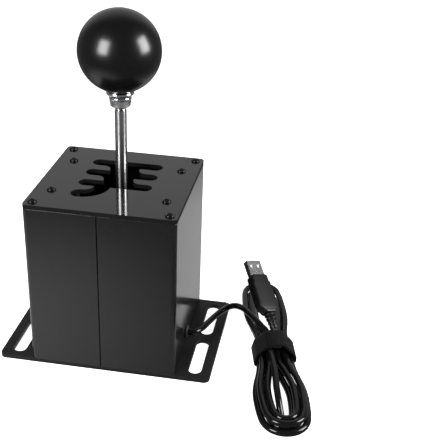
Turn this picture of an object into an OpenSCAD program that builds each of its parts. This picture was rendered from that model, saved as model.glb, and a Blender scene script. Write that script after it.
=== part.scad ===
// Six speed and reverse gate shifter for a desk driving rig.
// An aluminium box carries a slotted gate plate; the ball lever swings in a gimbal inside it.
// X runs along the driver's fore and aft line, Y across the gate columns, Z up from the desk.

/* [Body] */
// Outer width of the box along X
body_w = 100; // [96:1:130]
// Outer depth of the box along Y
body_d = 98; // [96:1:130]
// Height of the two extruded halves
body_h = 115; // [105:1:140]
// Wall thickness of the extruded halves
wall = 3; // [2:0.5:4]
// Outside radius of the vertical corners
corner_r = 3; // [1:0.5:4]
// Place of the vertical seam between the halves
seam_x = -1.4; // [-6:0.2:6]
// Width of the groove left open at the seam
seam_gap = 0.8; // [0.4:0.1:1.6]
// Overlap of the inner tongue behind the seam
seam_lap = 3; // [1:0.5:5]
// Side of the square screw channel in each corner
boss_w = 8; // [7:0.5:9]

/* [Base plate] */
// Overhang of the base plate beyond each side of the box
base_ear = 23.5; // [20:0.5:35]
// Thickness of the base plate
base_t = 3; // [2:0.5:5]
// Radius of the base plate corners
base_corner_r = 4; // [1:0.5:8]
// Width of the four mounting slots
mount_slot_w = 9; // [5:0.5:10]
// End to end length of a mounting slot
mount_slot_l = 40; // [20:1:42]
// Distance of the slot centre lines from the side of the box
mount_slot_off = 12.2; // [10:0.1:14]
// Distance of the slot centres from the middle along Y
mount_slot_y = 23.5; // [22.5:0.5:25]

/* [Gate] */
// Thickness of the gate plate
gate_t = 3; // [2:0.5:5]
// Spacing of the gate columns along Y
column_pitch = 16.8; // [15:0.1:17.2]
// Throw of the lever into gear at the gate, along X
gear_throw = 19.9; // [18.5:0.1:20.5]
// Half width of the neutral channel
channel_half = 9.75; // [8:0.25:12]
// Radius on the lead-in corner of each gate finger
finger_r = 6; // [2:0.5:6.5]
// Clearance between the lever rod and the gate at full travel
gate_clear = 0.3; // [0.2:0.05:0.6]

/* [Lever] */
// Offset of the lever from the middle of the box along Y
lever_y = 9; // [7:0.5:10]
// Height of the gimbal centre above the desk
pivot_z = 46; // [44:0.5:50]
// Diameter of the polished lever rod
rod_d = 8; // [7:0.5:8.5]
// Depth of the rod thread in the hub
rod_seat = 13; // [10:0.5:13]

/* [Knob] */
// Diameter of the ball
knob_d = 54; // [40:1:60]
// Height of the ball centre above the desk
knob_z = 207.3; // [200:0.1:230]
// Diameter of the flat under the ball
knob_flat_d = 18; // [16:0.5:20]
// Height of the bright collar under the ball
collar_h = 6.4; // [5:0.1:8]
// Diameter at the foot of the collar
collar_foot_d = 15.2; // [14:0.1:16]
// Diameter of the knurled lock nut
knob_nut_d = 14.4; // [13:0.1:15]
// Height of the knurled lock nut
knob_nut_h = 4.8; // [4:0.1:7]
// Number of teeth round the knurl
knurl_count = 40; // [24:1:60]
// Length of the threaded insert moulded into the ball
insert_h = 18; // [14:1:22]
// Outside diameter of the threaded insert
insert_d = 13; // [12:0.5:14]

/* [Fasteners] */
// Corner screw centre from the outer faces of the box
corner_inset = 5.5; // [5:0.1:6]
// Carrier screw centres from the middle along X
carrier_x = 38.3; // [37.5:0.1:39]
// Carrier screw centres from the middle along Y
carrier_y = 24.2; // [23.5:0.1:25]
// Nominal diameter of the machine screws
screw_d = 3; // [2.5:0.5:3]
// Diameter of the pan heads
head_d = 5.8; // [5:0.1:6.5]
// Height of the pan heads
head_h = 1.9; // [1.5:0.1:2.5]
// Width across the flats of the standoffs
standoff_af = 5.5; // [5:0.5:7]

/* [Gimbal] */
// Half length of the gimbal ring along X
ring_x = 26; // [25:0.5:27]
// Half width of the gimbal ring along Y
ring_y = 15; // [14.5:0.5:16]
// Height of the gimbal ring and its carrier
ring_h = 12; // [11:0.5:13]
// Wall of the gimbal ring
ring_wall = 5.5; // [5:0.1:6]
// Diameter of the gimbal pins
pin_d = 5; // [4:0.5:5]
// Outside diameter of the bushes
bush_d = 7; // [6.5:0.5:8]
// Thickness of the bush flanges
flange_t = 1; // [0.8:0.1:1.2]
// Room for a centring spring beside the ring
spring_room = 5; // [4.5:0.1:6]
// Wire diameter of the centring springs
spring_wire = 1; // [0.8:0.1:1.1]
// Radius of the detent sector on the hub
detent_r = 20; // [20:0.5:22]

/* [Electronics] */
// Width of the circuit board along X
board_w = 72; // [70:1:76]
// Depth of the circuit board along Y
board_d = 56; // [50:1:58]
// Height of the board spacers
spacer_h = 5; // [4:0.5:6]

/* [Cable] */
// Outside diameter of the cable
cable_d = 4.4; // [4.2:0.1:4.5]
// Place of the cable outlet along Y
outlet_y = -9.5; // [-12:0.5:-8]
// Height of the cable outlet above the desk
outlet_z = 12.5; // [12:0.5:14]
// Gap between neighbouring strands in the hank
hank_gap = 0.7; // [0.7:0.05:0.9]
// Number of half turns in the hank
hank_half_turns = 9; // [5:4:13]
// Half length of the innermost loop of the hank
hank_half_l = 72; // [66:1:74]
// Width of the hook and loop tie
tie_w = 18; // [12:1:19]
// Thickness of the tie
tie_t = 1.2; // [0.8:0.1:1.5]

/* [Hidden] */
$fn = 64;

black = "#1b1b1d";
satin_black = "#2b2b2e";
steel = "#b9bcc0";
brass = "#b59a55";
board_green = "#1d5136";

// Fits
run_clear = 0.05;      // radial clearance of a pin in its bush
thread_clear = 0.05;   // radial gap between a thread and its hole
hole_clear = 0.2;      // radial gap of a screw in a plain hole
seat_clear = 0.15;     // gap between lapped sheet edges
swing_clear = 0.9;     // room round a swinging piece
slip_clear = 0.1;      // end float of a piece between two faces

// Base plate
base_w = body_w + 2 * base_ear;
mount_slot_x = body_w / 2 + mount_slot_off;

// Levels
body_z = base_t;
gate_z = body_z + body_h;
gate_top = gate_z + gate_t;
gate_mid = gate_z + gate_t / 2;

// Lever travel at the middle of the gate plate
swing_h = gate_mid - pivot_z;
rod_r = rod_d / 2;
select_slope = column_pitch / swing_h;
engage_slope = gear_throw / swing_h;
select_deg = atan(select_slope);
engage_deg = atan(engage_slope * cos(select_deg));
slot_half = rod_r * sqrt(1 + select_slope * select_slope) + gate_t / 2 * select_slope + gate_clear;
slot_reach = gear_throw + rod_r * sqrt(1 + engage_slope * engage_slope)
  + gate_t / 2 * engage_slope + gate_clear;
columns = [for (k = [-1:1]) lever_y + k * column_pitch];
channel_front = columns[0] - slot_half;
channel_back = columns[2] + slot_half;
reverse_r = column_pitch - slot_half;
reverse_slope = 2 * select_slope;
reverse_half = rod_r * sqrt(1 + reverse_slope * reverse_slope) + gate_t / 2 * reverse_slope + gate_clear;
finger_half = column_pitch / 2 - slot_half;

// Screw places
corner_x = body_w / 2 - corner_inset;
corner_y = body_d / 2 - corner_inset;
screw_hole_r = screw_d / 2 + hole_clear;
tap_r = screw_d / 2 - 0.25;
shank_r = tap_r - thread_clear;
screw_grip = 5;
csk_r = screw_d;
csk_h = screw_d / 2;

// Gimbal places
pin_r = pin_d / 2;
bush_r = bush_d / 2;
bush_bore_r = pin_r + run_clear;
flange_r = bush_r + 1;
ring_inner_x = ring_x - ring_wall;
ring_inner_y = ring_y - ring_wall;
frame_window_x = ring_x + spring_room + flange_t;
frame_window_y = sqrt(ring_y * ring_y + ring_h * ring_h / 4) + swing_clear;
frame_half_x = carrier_x + standoff_af * 0.75;
frame_half_y = carrier_y + standoff_af;
frame_low = pivot_z - ring_h / 2;
frame_top = pivot_z + ring_h / 2;
cap_head_h = screw_d;
tab_half = 3.6;
tab_drop = 5;
tab_gap = 0.2;
tab_foot = 3;
tab_t = spring_room / 2 - 1.5 * tab_gap;

// Lever hub
hub_half_x = 8;
hub_half_y = 7;
hub_low = pivot_z - 9;
hub_top = pivot_z + 18;
rod_low = hub_top - rod_seat;
hub_nut_af = 13;
hub_nut_h = 3.2;
hub_flange_t = 1.2;
washer_t = ring_inner_y - hub_half_y - hub_flange_t - slip_clear;
tail_d = 5;
tail_seat = 4.5;
tail_low = 20;
holder_d = 11;
holder_low = 16;
holder_h = 8;
magnet_d = 6;
magnet_h = 3;

// Detent
cam_t = 2.2;
cam_half = 12;
cam_low = 7;
cam_y = lever_y + hub_half_y;
cam_screw_x = 5.6;
cam_screw_z = pivot_z + 12;
small_screw_d = 2.5;
small_tap_r = small_screw_d / 2 - 0.2;
small_hole_r = small_screw_d / 2 + 0.1;
small_head_d = 4.4;
small_head_h = 1.5;
small_screw_l = 6;
small_tap_l = small_screw_l + 2;
notch_r = 1.6;
notch_rise = 0.3;
leaf_t = 0.6;
leaf_w = 4.4;
leaf_y = cam_y + leaf_w / 2;
leaf_z = pivot_z + detent_r + 2;
post_d = 5;
post_x = ring_x - ring_wall / 2;

// Knob
flat_z = knob_z - sqrt(knob_d * knob_d - knob_flat_d * knob_flat_d) / 2;
collar_z = flat_z - collar_h;
nut_z = collar_z - knob_nut_h;
thread_show = 2.3;
thread_z = nut_z - thread_show;
thread_r = rod_r - 0.15;

// Circuit board
header_w = 8;
header_d = 8;
board_x = 2;
board_hole_inset = 4;
board_front = outlet_y - header_d / 2 - 0.6 - head_d / 2 - board_hole_inset;
board_y = board_front + board_d / 2;
board_t = 1.6;
board_z = base_t + spacer_h;
board_top = board_z + board_t;
spacer_d = 6;
sensor_arm = pivot_z - holder_low;
sensor_x = sensor_arm * tan(engage_deg);
sensor_y = sensor_arm * tan(select_deg);
header_h = outlet_z + cable_d / 2 + 1.4 - board_top;
header_x = board_x + board_w / 2 - header_w - 2;

// Cable outlet
cable_r = cable_d / 2;
neck_r = cable_r + 1.1;
grommet_r = neck_r + 1.2;
grommet_lip = 1.5;
lead_x = body_w / 2 + grommet_lip;

// The free run of the cable, from the outlet to the tie, by hand
LEAD = [
  [lead_x, outlet_y, outlet_z], [lead_x + 4.5, outlet_y + 0.6, outlet_z], [60, -3.5, 12.3],
  [63.5, 6.5, 11.8], [67.5, 17.5, 11.4], [71.8, 25.5, 11.4], [77.8, 30.5, 12.4],
  [84.2, 28.4, 13.4], [91, 21.2, 13.8], [97.6, 12.8, 13.9], [103.4, 4.6, 13.9]
];

// The hank lies on the desk beside the box; its own x runs across it and y along it
hank_x = 111.6;
hank_y = -7.8;
hank_turn = 13;
hank_end_r = 4.4;
hank_waist_y = -5;
hank_waist_l = 34;
hank_lift = 1.5;
hank_lift_l = 45;
hank_pitch = cable_d + hank_gap;
hank_waist = -hank_pitch / 4;
hank_low = cable_r + 0.1;
hank_high = hank_low + hank_pitch;
hank_top = hank_high + hank_lift + cable_d + 0.5;
hank_flip = (hank_half_turns + 1) * 90;
hank_steps = hank_flip / 360;
hank_cross = 25;
hank_rings = 40;
hank_first_ring = 3;
tie_clear = 0.4;

// The plug points up and away from the tie
plug_at = [112, 1.2, 16.2];
plug_turn = 120;
plug_tilt = 32;
plug_roll = 16;
boot_l = 12;
boot_r = 4;
mould_l = 31;
mould_w = 16;
mould_h = 8;
mould_r = 2.5;
shell_w = 12;
shell_h = 4.5;
shell_l = 12;
shell_t = 0.4;
plug_window = 2.2;
tongue_h = 1.9;

function unit(v) = v / norm(v);

// Points of a ring of the tube round a path point
function tube_ring(path, i, r, sides, side_of) =
  let (
    last = len(path) - 1,
    along = unit(path[min(i + 1, last)] - path[max(i - 1, 0)]),
    across = unit(cross(along, side_of)),
    up = cross(across, along)
  )
  [for (k = [0:sides - 1]) path[i] + r * (cos(k * 360 / sides) * across + sin(k * 360 / sides) * up)];

// A tube of plain triangles swept along a path
module tube(path, r, sides, side_of) {
  last = len(path) - 1;
  rings = [for (i = [0:last]) each tube_ring(path, i, r, sides, side_of)];
  walls = [for (i = [0:last - 1], k = [0:sides - 1])
    let (a = i * sides + k, b = i * sides + (k + 1) % sides)
    each [[a, b, b + sides], [a, b + sides, a + sides]]];
  low_cap = [for (k = [1:sides - 2]) [0, k + 1, k]];
  high_cap = [for (k = [1:sides - 2]) [last * sides, last * sides + k, last * sides + k + 1]];
  polyhedron(points = rings, faces = concat(walls, low_cap, high_cap), convexity = 10);
}

// Rectangle with round corners, centred
module round_rect(w, d, r) {
  square([w - 2 * r, d], center = true);
  square([w, d - 2 * r], center = true);
  for (x = [-1, 1], y = [-1, 1])
    translate([x * (w / 2 - r), y * (d / 2 - r)]) circle(r = r);
}

// Slot with round ends along Y, centred
module slot_y(w, l) {
  square([w, l - w], center = true);
  for (y = [-1, 1])
    translate([0, y * (l - w) / 2]) circle(d = w);
}

// Plate drawn in X and Z, standing from y0 to y0 + t
module xz_plate(y0, t) {
  translate([0, y0 + t, 0]) rotate([90, 0, 0]) linear_extrude(t) children();
}

// Cylinder along X from x0
module bar_x(x0, l, r) {
  translate([x0, 0, 0]) rotate([0, 90, 0]) cylinder(h = l, r = r);
}

// Cylinder along Y from y0
module bar_y(y0, l, r) {
  translate([0, y0, 0]) rotate([-90, 0, 0]) cylinder(h = l, r = r);
}

module at_corners() {
  for (x = [-1, 1], y = [-1, 1])
    translate([x * corner_x, y * corner_y, 0]) children();
}

module at_carriers() {
  for (x = [-1, 1], y = [-1, 1])
    translate([x * carrier_x, y * carrier_y, 0]) children();
}

module at_board_holes() {
  hole_x = board_w / 2 - board_hole_inset;
  hole_y = board_d / 2 - board_hole_inset;
  for (x = [-1, 1], y = [-1, 1])
    translate([board_x + x * hole_x, board_y + y * hole_y, 0]) children();
}

// Domed pan head with a cross recess, head seat at z = 0, shank downwards
module pan_screw(head_w, head_t, r, l) {
  dome_r = (head_w * head_w / 4 + head_t * head_t) / (2 * head_t);
  recess_w = head_w * 0.15;
  recess_l = head_w * 0.52;
  difference() {
    rotate_extrude() intersection() {
      translate([0, head_t - dome_r]) circle(r = dome_r);
      square([head_w / 2, head_t]);
    }
    for (a = [0, 90])
      rotate(a) translate([0, 0, head_t]) cube([recess_l, recess_w, head_t], center = true);
  }
  translate([0, 0, -l]) cylinder(h = l, r = r);
}

// Body shell and its plates

module base_plate() {
  color(satin_black) difference() {
    linear_extrude(base_t) difference() {
      round_rect(base_w, body_d, base_corner_r);
      for (x = [-1, 1], y = [-1, 1])
        translate([x * mount_slot_x, y * mount_slot_y]) slot_y(mount_slot_w, mount_slot_l);
      at_corners() circle(r = screw_hole_r);
      at_board_holes() circle(r = tap_r);
    }
    at_corners() translate([0, 0, -0.01])
      cylinder(h = csk_h + 0.01, r1 = csk_r + hole_clear, r2 = screw_hole_r);
  }
}

// Outline of the closed box with its screw channels
module body_outline() {
  difference() {
    round_rect(body_w, body_d, corner_r);
    difference() {
      square([body_w - 2 * wall, body_d - 2 * wall], center = true);
      at_corners() square(boss_w, center = true);
    }
    at_corners() circle(r = tap_r);
  }
}

// Side of the seam that belongs to the left half, with its inner tongue
module left_of_seam(grow) {
  reach = body_w;
  lip_x = seam_x - seam_gap / 2;
  tongue_x = seam_x + seam_lap + grow;
  tongue_d = body_d - wall - seat_clear + 2 * grow;
  translate([lip_x - reach, -reach]) square([reach, 2 * reach]);
  translate([tongue_x - reach, -tongue_d / 2]) square([reach, tongue_d]);
}

module left_body_half() {
  color(satin_black) translate([0, 0, body_z]) linear_extrude(body_h) intersection() {
    body_outline();
    left_of_seam(0);
  }
}

module right_body_half() {
  color(satin_black) difference() {
    translate([0, 0, body_z]) linear_extrude(body_h) difference() {
      body_outline();
      left_of_seam(seat_clear);
      translate([seam_x - seam_gap / 2 - 1, -body_d]) square([seam_gap + 1, 2 * body_d]);
    }
    translate([0, outlet_y, outlet_z]) bar_x(body_w / 2 - wall - 1, wall + 2, neck_r);
  }
}

// Lead-in corner of a finger, to be cut away, with some overlap into the open slots.
// The arc runs out just past the finger's edges, so it crosses them cleanly.
module finger_corner(x, y, turn) {
  overlap = 1;
  centre = finger_r - 0.05;
  translate([x, y]) rotate(turn) difference() {
    translate([-overlap, -overlap]) square(centre + overlap);
    translate([centre, centre]) circle(r = finger_r);
  }
}

// Curved reverse gate, from the front column round to its round end
module reverse_gate() {
  outer_r = reverse_r + reverse_half;
  inner_r = reverse_r - reverse_half;
  overlap = 1;
  translate([reverse_half - slot_reach - gate_clear, channel_front]) {
    intersection() {
      difference() {
        circle(r = outer_r);
        circle(r = inner_r);
      }
      translate([0, -outer_r - overlap]) square([outer_r + overlap, outer_r + 2 * overlap]);
    }
    intersection() {
      translate([0, -reverse_r]) circle(r = reverse_half);
      translate([-outer_r, -outer_r - overlap]) square([outer_r, outer_r]);
    }
  }
}

// Opening of the gate: neutral channel, three columns and the reverse gate
module gate_opening() {
  translate([-channel_half, channel_front]) square([2 * channel_half, channel_back - channel_front]);
  for (y = columns)
    translate([0, y]) rotate(90) slot_y(2 * slot_half, 2 * slot_reach);
  for (k = [0, 1]) {
    finger_y = (columns[k] + columns[k + 1]) / 2;
    finger_corner(-channel_half, finger_y + finger_half, 180);
    finger_corner(channel_half, finger_y - finger_half, 0);
  }
  reverse_gate();
}

module gate_plate() {
  color(satin_black) translate([0, 0, gate_z]) linear_extrude(gate_t) difference() {
    round_rect(body_w, body_d, corner_r);
    gate_opening();
    at_corners() circle(r = screw_hole_r);
    at_carriers() circle(r = screw_hole_r);
  }
}

module gate_corner_screws() {
  color(black) at_corners() translate([0, 0, gate_top])
    pan_screw(head_d, head_h, shank_r, gate_t + screw_grip);
}

module base_screws() {
  color(black) at_corners() {
    cylinder(h = csk_h, r1 = csk_r, r2 = screw_d / 2);
    cylinder(h = base_t + screw_grip, r = shank_r);
  }
}

module carrier_screws() {
  color(black) at_carriers() translate([0, 0, gate_top])
    pan_screw(head_d, head_h, shank_r, gate_t + screw_grip);
}

// Carrier of the gimbal, hung under the gate plate

module standoffs() {
  color(brass) at_carriers() difference() {
    translate([0, 0, frame_top]) cylinder(h = gate_z - frame_top, d = standoff_af / cos(30), $fn = 6);
    translate([0, 0, frame_top - 1]) cylinder(h = gate_z - frame_top + 2, r = tap_r);
  }
}

module pivot_frame() {
  color("#3a3d42") difference() {
    union() {
      translate([-frame_half_x, -frame_half_y, frame_low]) cube([2 * frame_half_x, 2 * frame_half_y, ring_h]);
      for (s = [0, 180])
        translate([0, lever_y, frame_low - tab_drop]) rotate(s)
          translate([frame_window_x - flange_t - tab_gap - tab_t, -tab_half, 0])
            cube([tab_t + tab_gap + flange_t + tab_foot, 2 * tab_half, tab_drop]);
    }
    translate([-frame_window_x, lever_y - frame_window_y, frame_low - 0.5])
      cube([2 * frame_window_x, 2 * frame_window_y, ring_h + 1]);
    translate([0, lever_y, pivot_z]) bar_x(-frame_half_x - 1, 2 * frame_half_x + 2, bush_r);
    at_carriers() translate([0, 0, frame_low - 1]) cylinder(h = ring_h + 2, r = screw_hole_r);
  }
}

module frame_screws() {
  color(black) at_carriers() {
    translate([0, 0, frame_low - cap_head_h]) difference() {
      cylinder(h = cap_head_h, d = screw_d * 1.8);
      translate([0, 0, -0.01]) cylinder(h = cap_head_h / 2, d = screw_d * 0.95, $fn = 6);
    }
    translate([0, 0, frame_low]) cylinder(h = ring_h + screw_grip, r = shank_r);
  }
}

// Flanged bush along X with its flange on the inner side
module select_bushes() {
  color(brass) for (s = [0, 180])
    translate([0, lever_y, pivot_z]) rotate(s) difference() {
      union() {
        bar_x(frame_window_x, frame_half_x - frame_window_x, bush_r);
        bar_x(frame_window_x - flange_t, flange_t, flange_r);
      }
      bar_x(frame_window_x - flange_t - 1, frame_half_x, bush_bore_r);
    }
}

// Torsion spring: one leg on the ring's tab, two and a half turns, one leg on the carrier's tab
module centring_springs() {
  coil_r = tab_half + 0.1 + spring_wire / 2;
  coil_x0 = ring_x + 0.3 + spring_wire / 2;
  coil_l = spring_room - 0.6 - spring_wire;
  leg_z = -ring_h / 2 - tab_drop;
  turns = 2.5;
  steps = 8 * turns;
  path = concat(
    [[coil_x0, -coil_r, leg_z], [coil_x0, -coil_r, leg_z / 2]],
    [for (i = [0:steps])
      let (a = 180 - 360 * turns * i / steps)
      [coil_x0 + coil_l * i / steps, coil_r * cos(a), coil_r * sin(a)]],
    [[coil_x0 + coil_l, coil_r, leg_z / 2], [coil_x0 + coil_l, coil_r, leg_z]]
  );
  color(steel) for (s = [0, 180])
    translate([0, lever_y, pivot_z]) rotate(s) tube(path, spring_wire / 2, 6, [1, 0, 0]);
}

// Gear sensing board on the base

module circuit_board() {
  color(board_green) translate([0, 0, board_z]) linear_extrude(board_t) difference() {
    translate([board_x, board_y]) square([board_w, board_d], center = true);
    at_board_holes() circle(r = screw_hole_r);
  }
}

module board_spacers() {
  color("#d8d4c4") at_board_holes() translate([0, 0, base_t]) difference() {
    cylinder(h = spacer_h, d = spacer_d);
    translate([0, 0, -1]) cylinder(h = spacer_h + 2, r = screw_hole_r);
  }
}

module board_screws() {
  color(steel) at_board_holes() translate([0, 0, board_top])
    pan_screw(head_d, head_h, shank_r, board_top - 0.5);
}

// One field sensor under each gear place of the magnet, and one for reverse
module gear_sensors() {
  sensor_size = [3, 1.6, 1.1];
  places = concat(
    [for (x = [-1, 1], y = [-1:1]) [x * sensor_x, lever_y + y * sensor_y]],
    [[sensor_x, lever_y + 2 * sensor_y]]
  );
  color(black) for (p = places)
    translate([p[0], p[1], board_top + sensor_size[2] / 2]) cube(sensor_size, center = true);
}

module controller_chip() {
  chip_w = 10;
  chip_h = 1.4;
  pin_count = 8;
  pin_pitch = 1;
  color(black) translate([board_x - board_w / 4, board_y - board_d / 4, board_top]) {
    translate([-chip_w / 2, -chip_w / 2, 0]) cube([chip_w, chip_w, chip_h]);
    for (side = [0:90:270], k = [0:pin_count - 1])
      rotate(side) translate([chip_w / 2 - 0.2, (k - (pin_count - 1) / 2) * pin_pitch - 0.2, 0])
        cube([1.2, 0.4, 0.6]);
  }
}

module cable_header() {
  color("#e4e1d6") translate([header_x, outlet_y - header_d / 2, board_top])
    cube([header_w, header_d, header_h]);
}

// Cable outlet, free cable, tie and plug

module inner_lead() {
  start_x = header_x + header_w;
  color(black) translate([0, outlet_y, outlet_z]) bar_x(start_x, lead_x - start_x, cable_r);
}

module cable_grommet() {
  inner_x = body_w / 2 - wall - grommet_lip;
  color(black) translate([0, outlet_y, outlet_z]) difference() {
    union() {
      bar_x(inner_x, grommet_lip, grommet_r);
      bar_x(inner_x, wall + 2 * grommet_lip, neck_r);
      bar_x(body_w / 2, grommet_lip, grommet_r);
    }
    bar_x(inner_x - 1, wall + 2 * grommet_lip + 2, cable_r + run_clear);
  }
}

module usb_lead() {
  color(black) tube(LEAD, cable_r, 10, [0, 0, 1]);
}

// A point of the hank's frame as a point of the part
function from_hank(p) = [
  hank_x + p[0] * cos(hank_turn) - p[1] * sin(hank_turn),
  hank_y + p[0] * sin(hank_turn) + p[1] * cos(hank_turn),
  p[2]
];

function from_waist(p) = from_hank(p + [0, hank_waist_y, 0]);

// Innermost loop of the hank at angle a: round ends, long runs, drawn in at the waist
function loop_y(a) =
  -((hank_half_l - hank_end_r) * sin(a) * (1.5 - 0.5 * sin(a) * sin(a)) + hank_end_r * sin(a));
function lobe(y) = 1 - exp(-pow((y - hank_waist_y) / hank_waist_l, 4));
function loop_half(y) = hank_waist + (hank_end_r - hank_waist) * lobe(y);
function loop_point(a) = [-loop_half(loop_y(a)) * cos(a), loop_y(a)];
function loop_normal(a) =
  let (d = unit(loop_point(a + 1) - loop_point(a - 1)))
  [d[1], -d[0]];

function smooth(t) = let (k = min(max(t, 0), 1)) k * k * (3 - 2 * k);

// Steps outwards from the innermost loop. The runs change lanes where they pass the tie: the lower layer
// goes out on one side, the upper layer comes in on the other, half a lane between those of the lower one.
function lane(a) = let (turn = round(a / 360)) turn + smooth((a - 360 * turn) / (2 * hank_cross) + 0.5);
function loop_steps(a) =
  a < 180 ? smooth((a - 60) / 75) / 2 : a < hank_flip ? lane(a) - 0.5 : lane(2 * hank_flip - a - 180);

// First run comes down from the tie inside the loop; the climb lies along the run where it turns back
function first_run(a) = 1 - smooth((a - 27) / 40);
function hank_point(a) =
  let (
    climb = smooth((a - hank_flip + 45) / 90),
    flat = loop_point(a) + loop_steps(a) * hank_pitch * loop_normal(a),
    lift = hank_lift * exp(-pow((flat[1] - hank_waist_y) / hank_lift_l, 2)),
    z = hank_low + lift + (hank_high - hank_low) * climb + first_run(a) * (hank_top - hank_low - hank_lift)
  )
  [flat[0], flat[1], z];

plug_axis = [cos(plug_turn) * cos(plug_tilt), sin(plug_turn) * cos(plug_tilt), sin(plug_tilt)];
lead_end = LEAD[len(LEAD) - 1];
lead_along = unit(lead_end - LEAD[len(LEAD) - 2]);

HANK = concat(
  [lead_end, lead_end + lead_along * cable_d],
  [for (p = [[-3.6, 0, hank_top], [-3, -13, hank_top]]) from_waist(p)],
  [
    for (k = [hank_first_ring:hank_half_turns * hank_rings / 2 - 2])
      from_hank(hank_point(k * 360 / hank_rings))
  ],
  [for (p = [[1.7, -11, hank_top - 4.4], [2.2, -1, hank_top - 1.4], [3.6, 5.6, hank_top]]) from_waist(p)],
  [plug_at - plug_axis * cable_d, plug_at]
);

// Length of a path, and the least gap between strands of it that lie two segments or more apart
function total(list) = list * [for (value = list) 1];
function path_length(path) = total([for (i = [1:len(path) - 1]) norm(path[i] - path[i - 1])]);
function fine_path(path, cuts) = concat(
  [for (i = [0:len(path) - 2], j = [0:cuts - 1]) path[i] + (path[i + 1] - path[i]) * j / cuts],
  [path[len(path) - 1]]
);
function least_gap(path, cuts, apart) =
  let (fine = fine_path(path, cuts), last = len(fine) - 1)
  min([for (i = [0:last - apart]) min([for (j = [i + apart:last]) norm(fine[i] - fine[j])])]) - cable_d;

module cable_hank() {
  echo(hank_length = path_length(HANK), lead_length = path_length(LEAD));
  echo(hank_least_gap = least_gap(HANK, 5, 45));
  color(black) tube(HANK, cable_r, 6, [0, 0, 1]);
}

// Outline drawn tight round the given centres, which go round anticlockwise
function out_angle(a, b) = atan2(b[1] - a[1], b[0] - a[0]) - 90;
function wrap(centres, r) =
  let (n = len(centres), cuts = 6)
  [
    for (i = [0:n - 1])
      let (
        start = out_angle(centres[(i + n - 1) % n], centres[i]),
        turn = (out_angle(centres[i], centres[(i + 1) % n]) - start + 720) % 360
      )
      for (k = [0:cuts]) centres[i] + r * [cos(start + turn * k / cuts), sin(start + turn * k / cuts)]
  ];

// Half width of the innermost loop at an edge of the tie, on the straight between two rings
function tie_edge_half(side) =
  let (
    middle = loop_point(0),
    ring = loop_point(-side * 360 / hank_rings),
    reach = (hank_waist_y + side * tie_w / 2) / ring[1]
  )
  -middle[0] - (ring[0] - middle[0]) * reach;

// Band drawn tight round the waist of the hank, flat on the desk, with its end lapped on top
module cable_tie() {
  half = max(tie_edge_half(-1), tie_edge_half(1));
  side = half + hank_steps * hank_pitch;
  middle_z = hank_low + hank_lift;
  inner_r = cable_r + tie_clear;
  foot_z = tie_t + inner_r;
  lap = [-4, 4.3];
  strands = [
    [hank_pitch / 4 - side, foot_z], [side - hank_pitch, foot_z],
    [side, middle_z + 0.38 * hank_pitch], [side, middle_z + 0.68 * hank_pitch],
    [lap[1], hank_top], [lap[0], hank_top], [hank_pitch / 2 - side, middle_z + hank_pitch]
  ];
  color(black) translate(from_waist([0, 0, 0])) rotate(hank_turn) rotate([90, 0, 0]) {
    linear_extrude(tie_w, center = true) difference() {
      polygon(wrap(strands, inner_r + tie_t));
      polygon(wrap(strands, inner_r));
    }
    linear_extrude(tie_w, center = true)
      translate([lap[0], hank_top + inner_r + tie_t]) square([lap[1] - lap[0], tie_t]);
  }
}

// Plug frame: x along the plug from the mouth of its boot
module on_plug() {
  translate(plug_at) rotate([plug_roll, -plug_tilt, plug_turn]) children();
}

module plug_boot() {
  rib_count = 4;
  rib_pitch = boot_l / rib_count;
  rib_l = rib_pitch * 0.62;
  core_r = cable_r + 0.6;
  color(black) on_plug() {
    bar_x(0, boot_l, core_r);
    for (k = [0:rib_count - 1])
      bar_x(k * rib_pitch + rib_pitch - rib_l, rib_l, core_r + (boot_r - core_r) * (k + 1) / rib_count);
  }
}

// Outline of the moulded grip, along x
module mould_outline(inset) {
  neck = 0.8;
  translate([mould_l / 2, 0]) round_rect(mould_l - 2 * inset, mould_w - 2 * neck - 2 * inset, mould_r);
  translate([mould_l * 0.45, 0]) round_rect(mould_l * 0.72 - 2 * inset, mould_w - 2 * inset, mould_r);
}

module plug_overmould() {
  edge = 1;
  color(black) on_plug() translate([boot_l, 0, 0]) {
    linear_extrude(mould_h - 2 * edge, center = true) mould_outline(0);
    linear_extrude(mould_h, center = true) mould_outline(edge);
  }
}

module plug_shell() {
  shell_x = boot_l + mould_l;
  color(steel) on_plug() translate([shell_x, 0, 0]) difference() {
    translate([0, -shell_w / 2, -shell_h / 2]) cube([shell_l, shell_w, shell_h]);
    translate([-1, -shell_w / 2 + shell_t, -shell_h / 2 + shell_t])
      cube([shell_l + 2, shell_w - 2 * shell_t, shell_h - 2 * shell_t]);
    for (y = [-1, 1])
      translate([shell_l * 0.6, y * shell_w / 4, 0])
        cube([plug_window, plug_window, shell_h + 2], center = true);
  }
}

module plug_tongue() {
  color("white") on_plug()
    translate([boot_l + mould_l, -shell_w / 2 + shell_t + 0.05, shell_h / 2 - shell_t - tongue_h - 0.05])
      cube([shell_l - 0.6, shell_w - 2 * shell_t - 0.1, tongue_h]);
}

module plug_contacts() {
  contact_t = 0.15;
  contact_z = shell_h / 2 - shell_t - tongue_h - 0.05 - contact_t;
  color(brass) on_plug()
    for (k = [-1.5:1.5])
      translate([boot_l + mould_l + 1, k * 2.3 - 0.5, contact_z]) cube([shell_l - 3, 1, contact_t]);
}

// Gimbal

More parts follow.
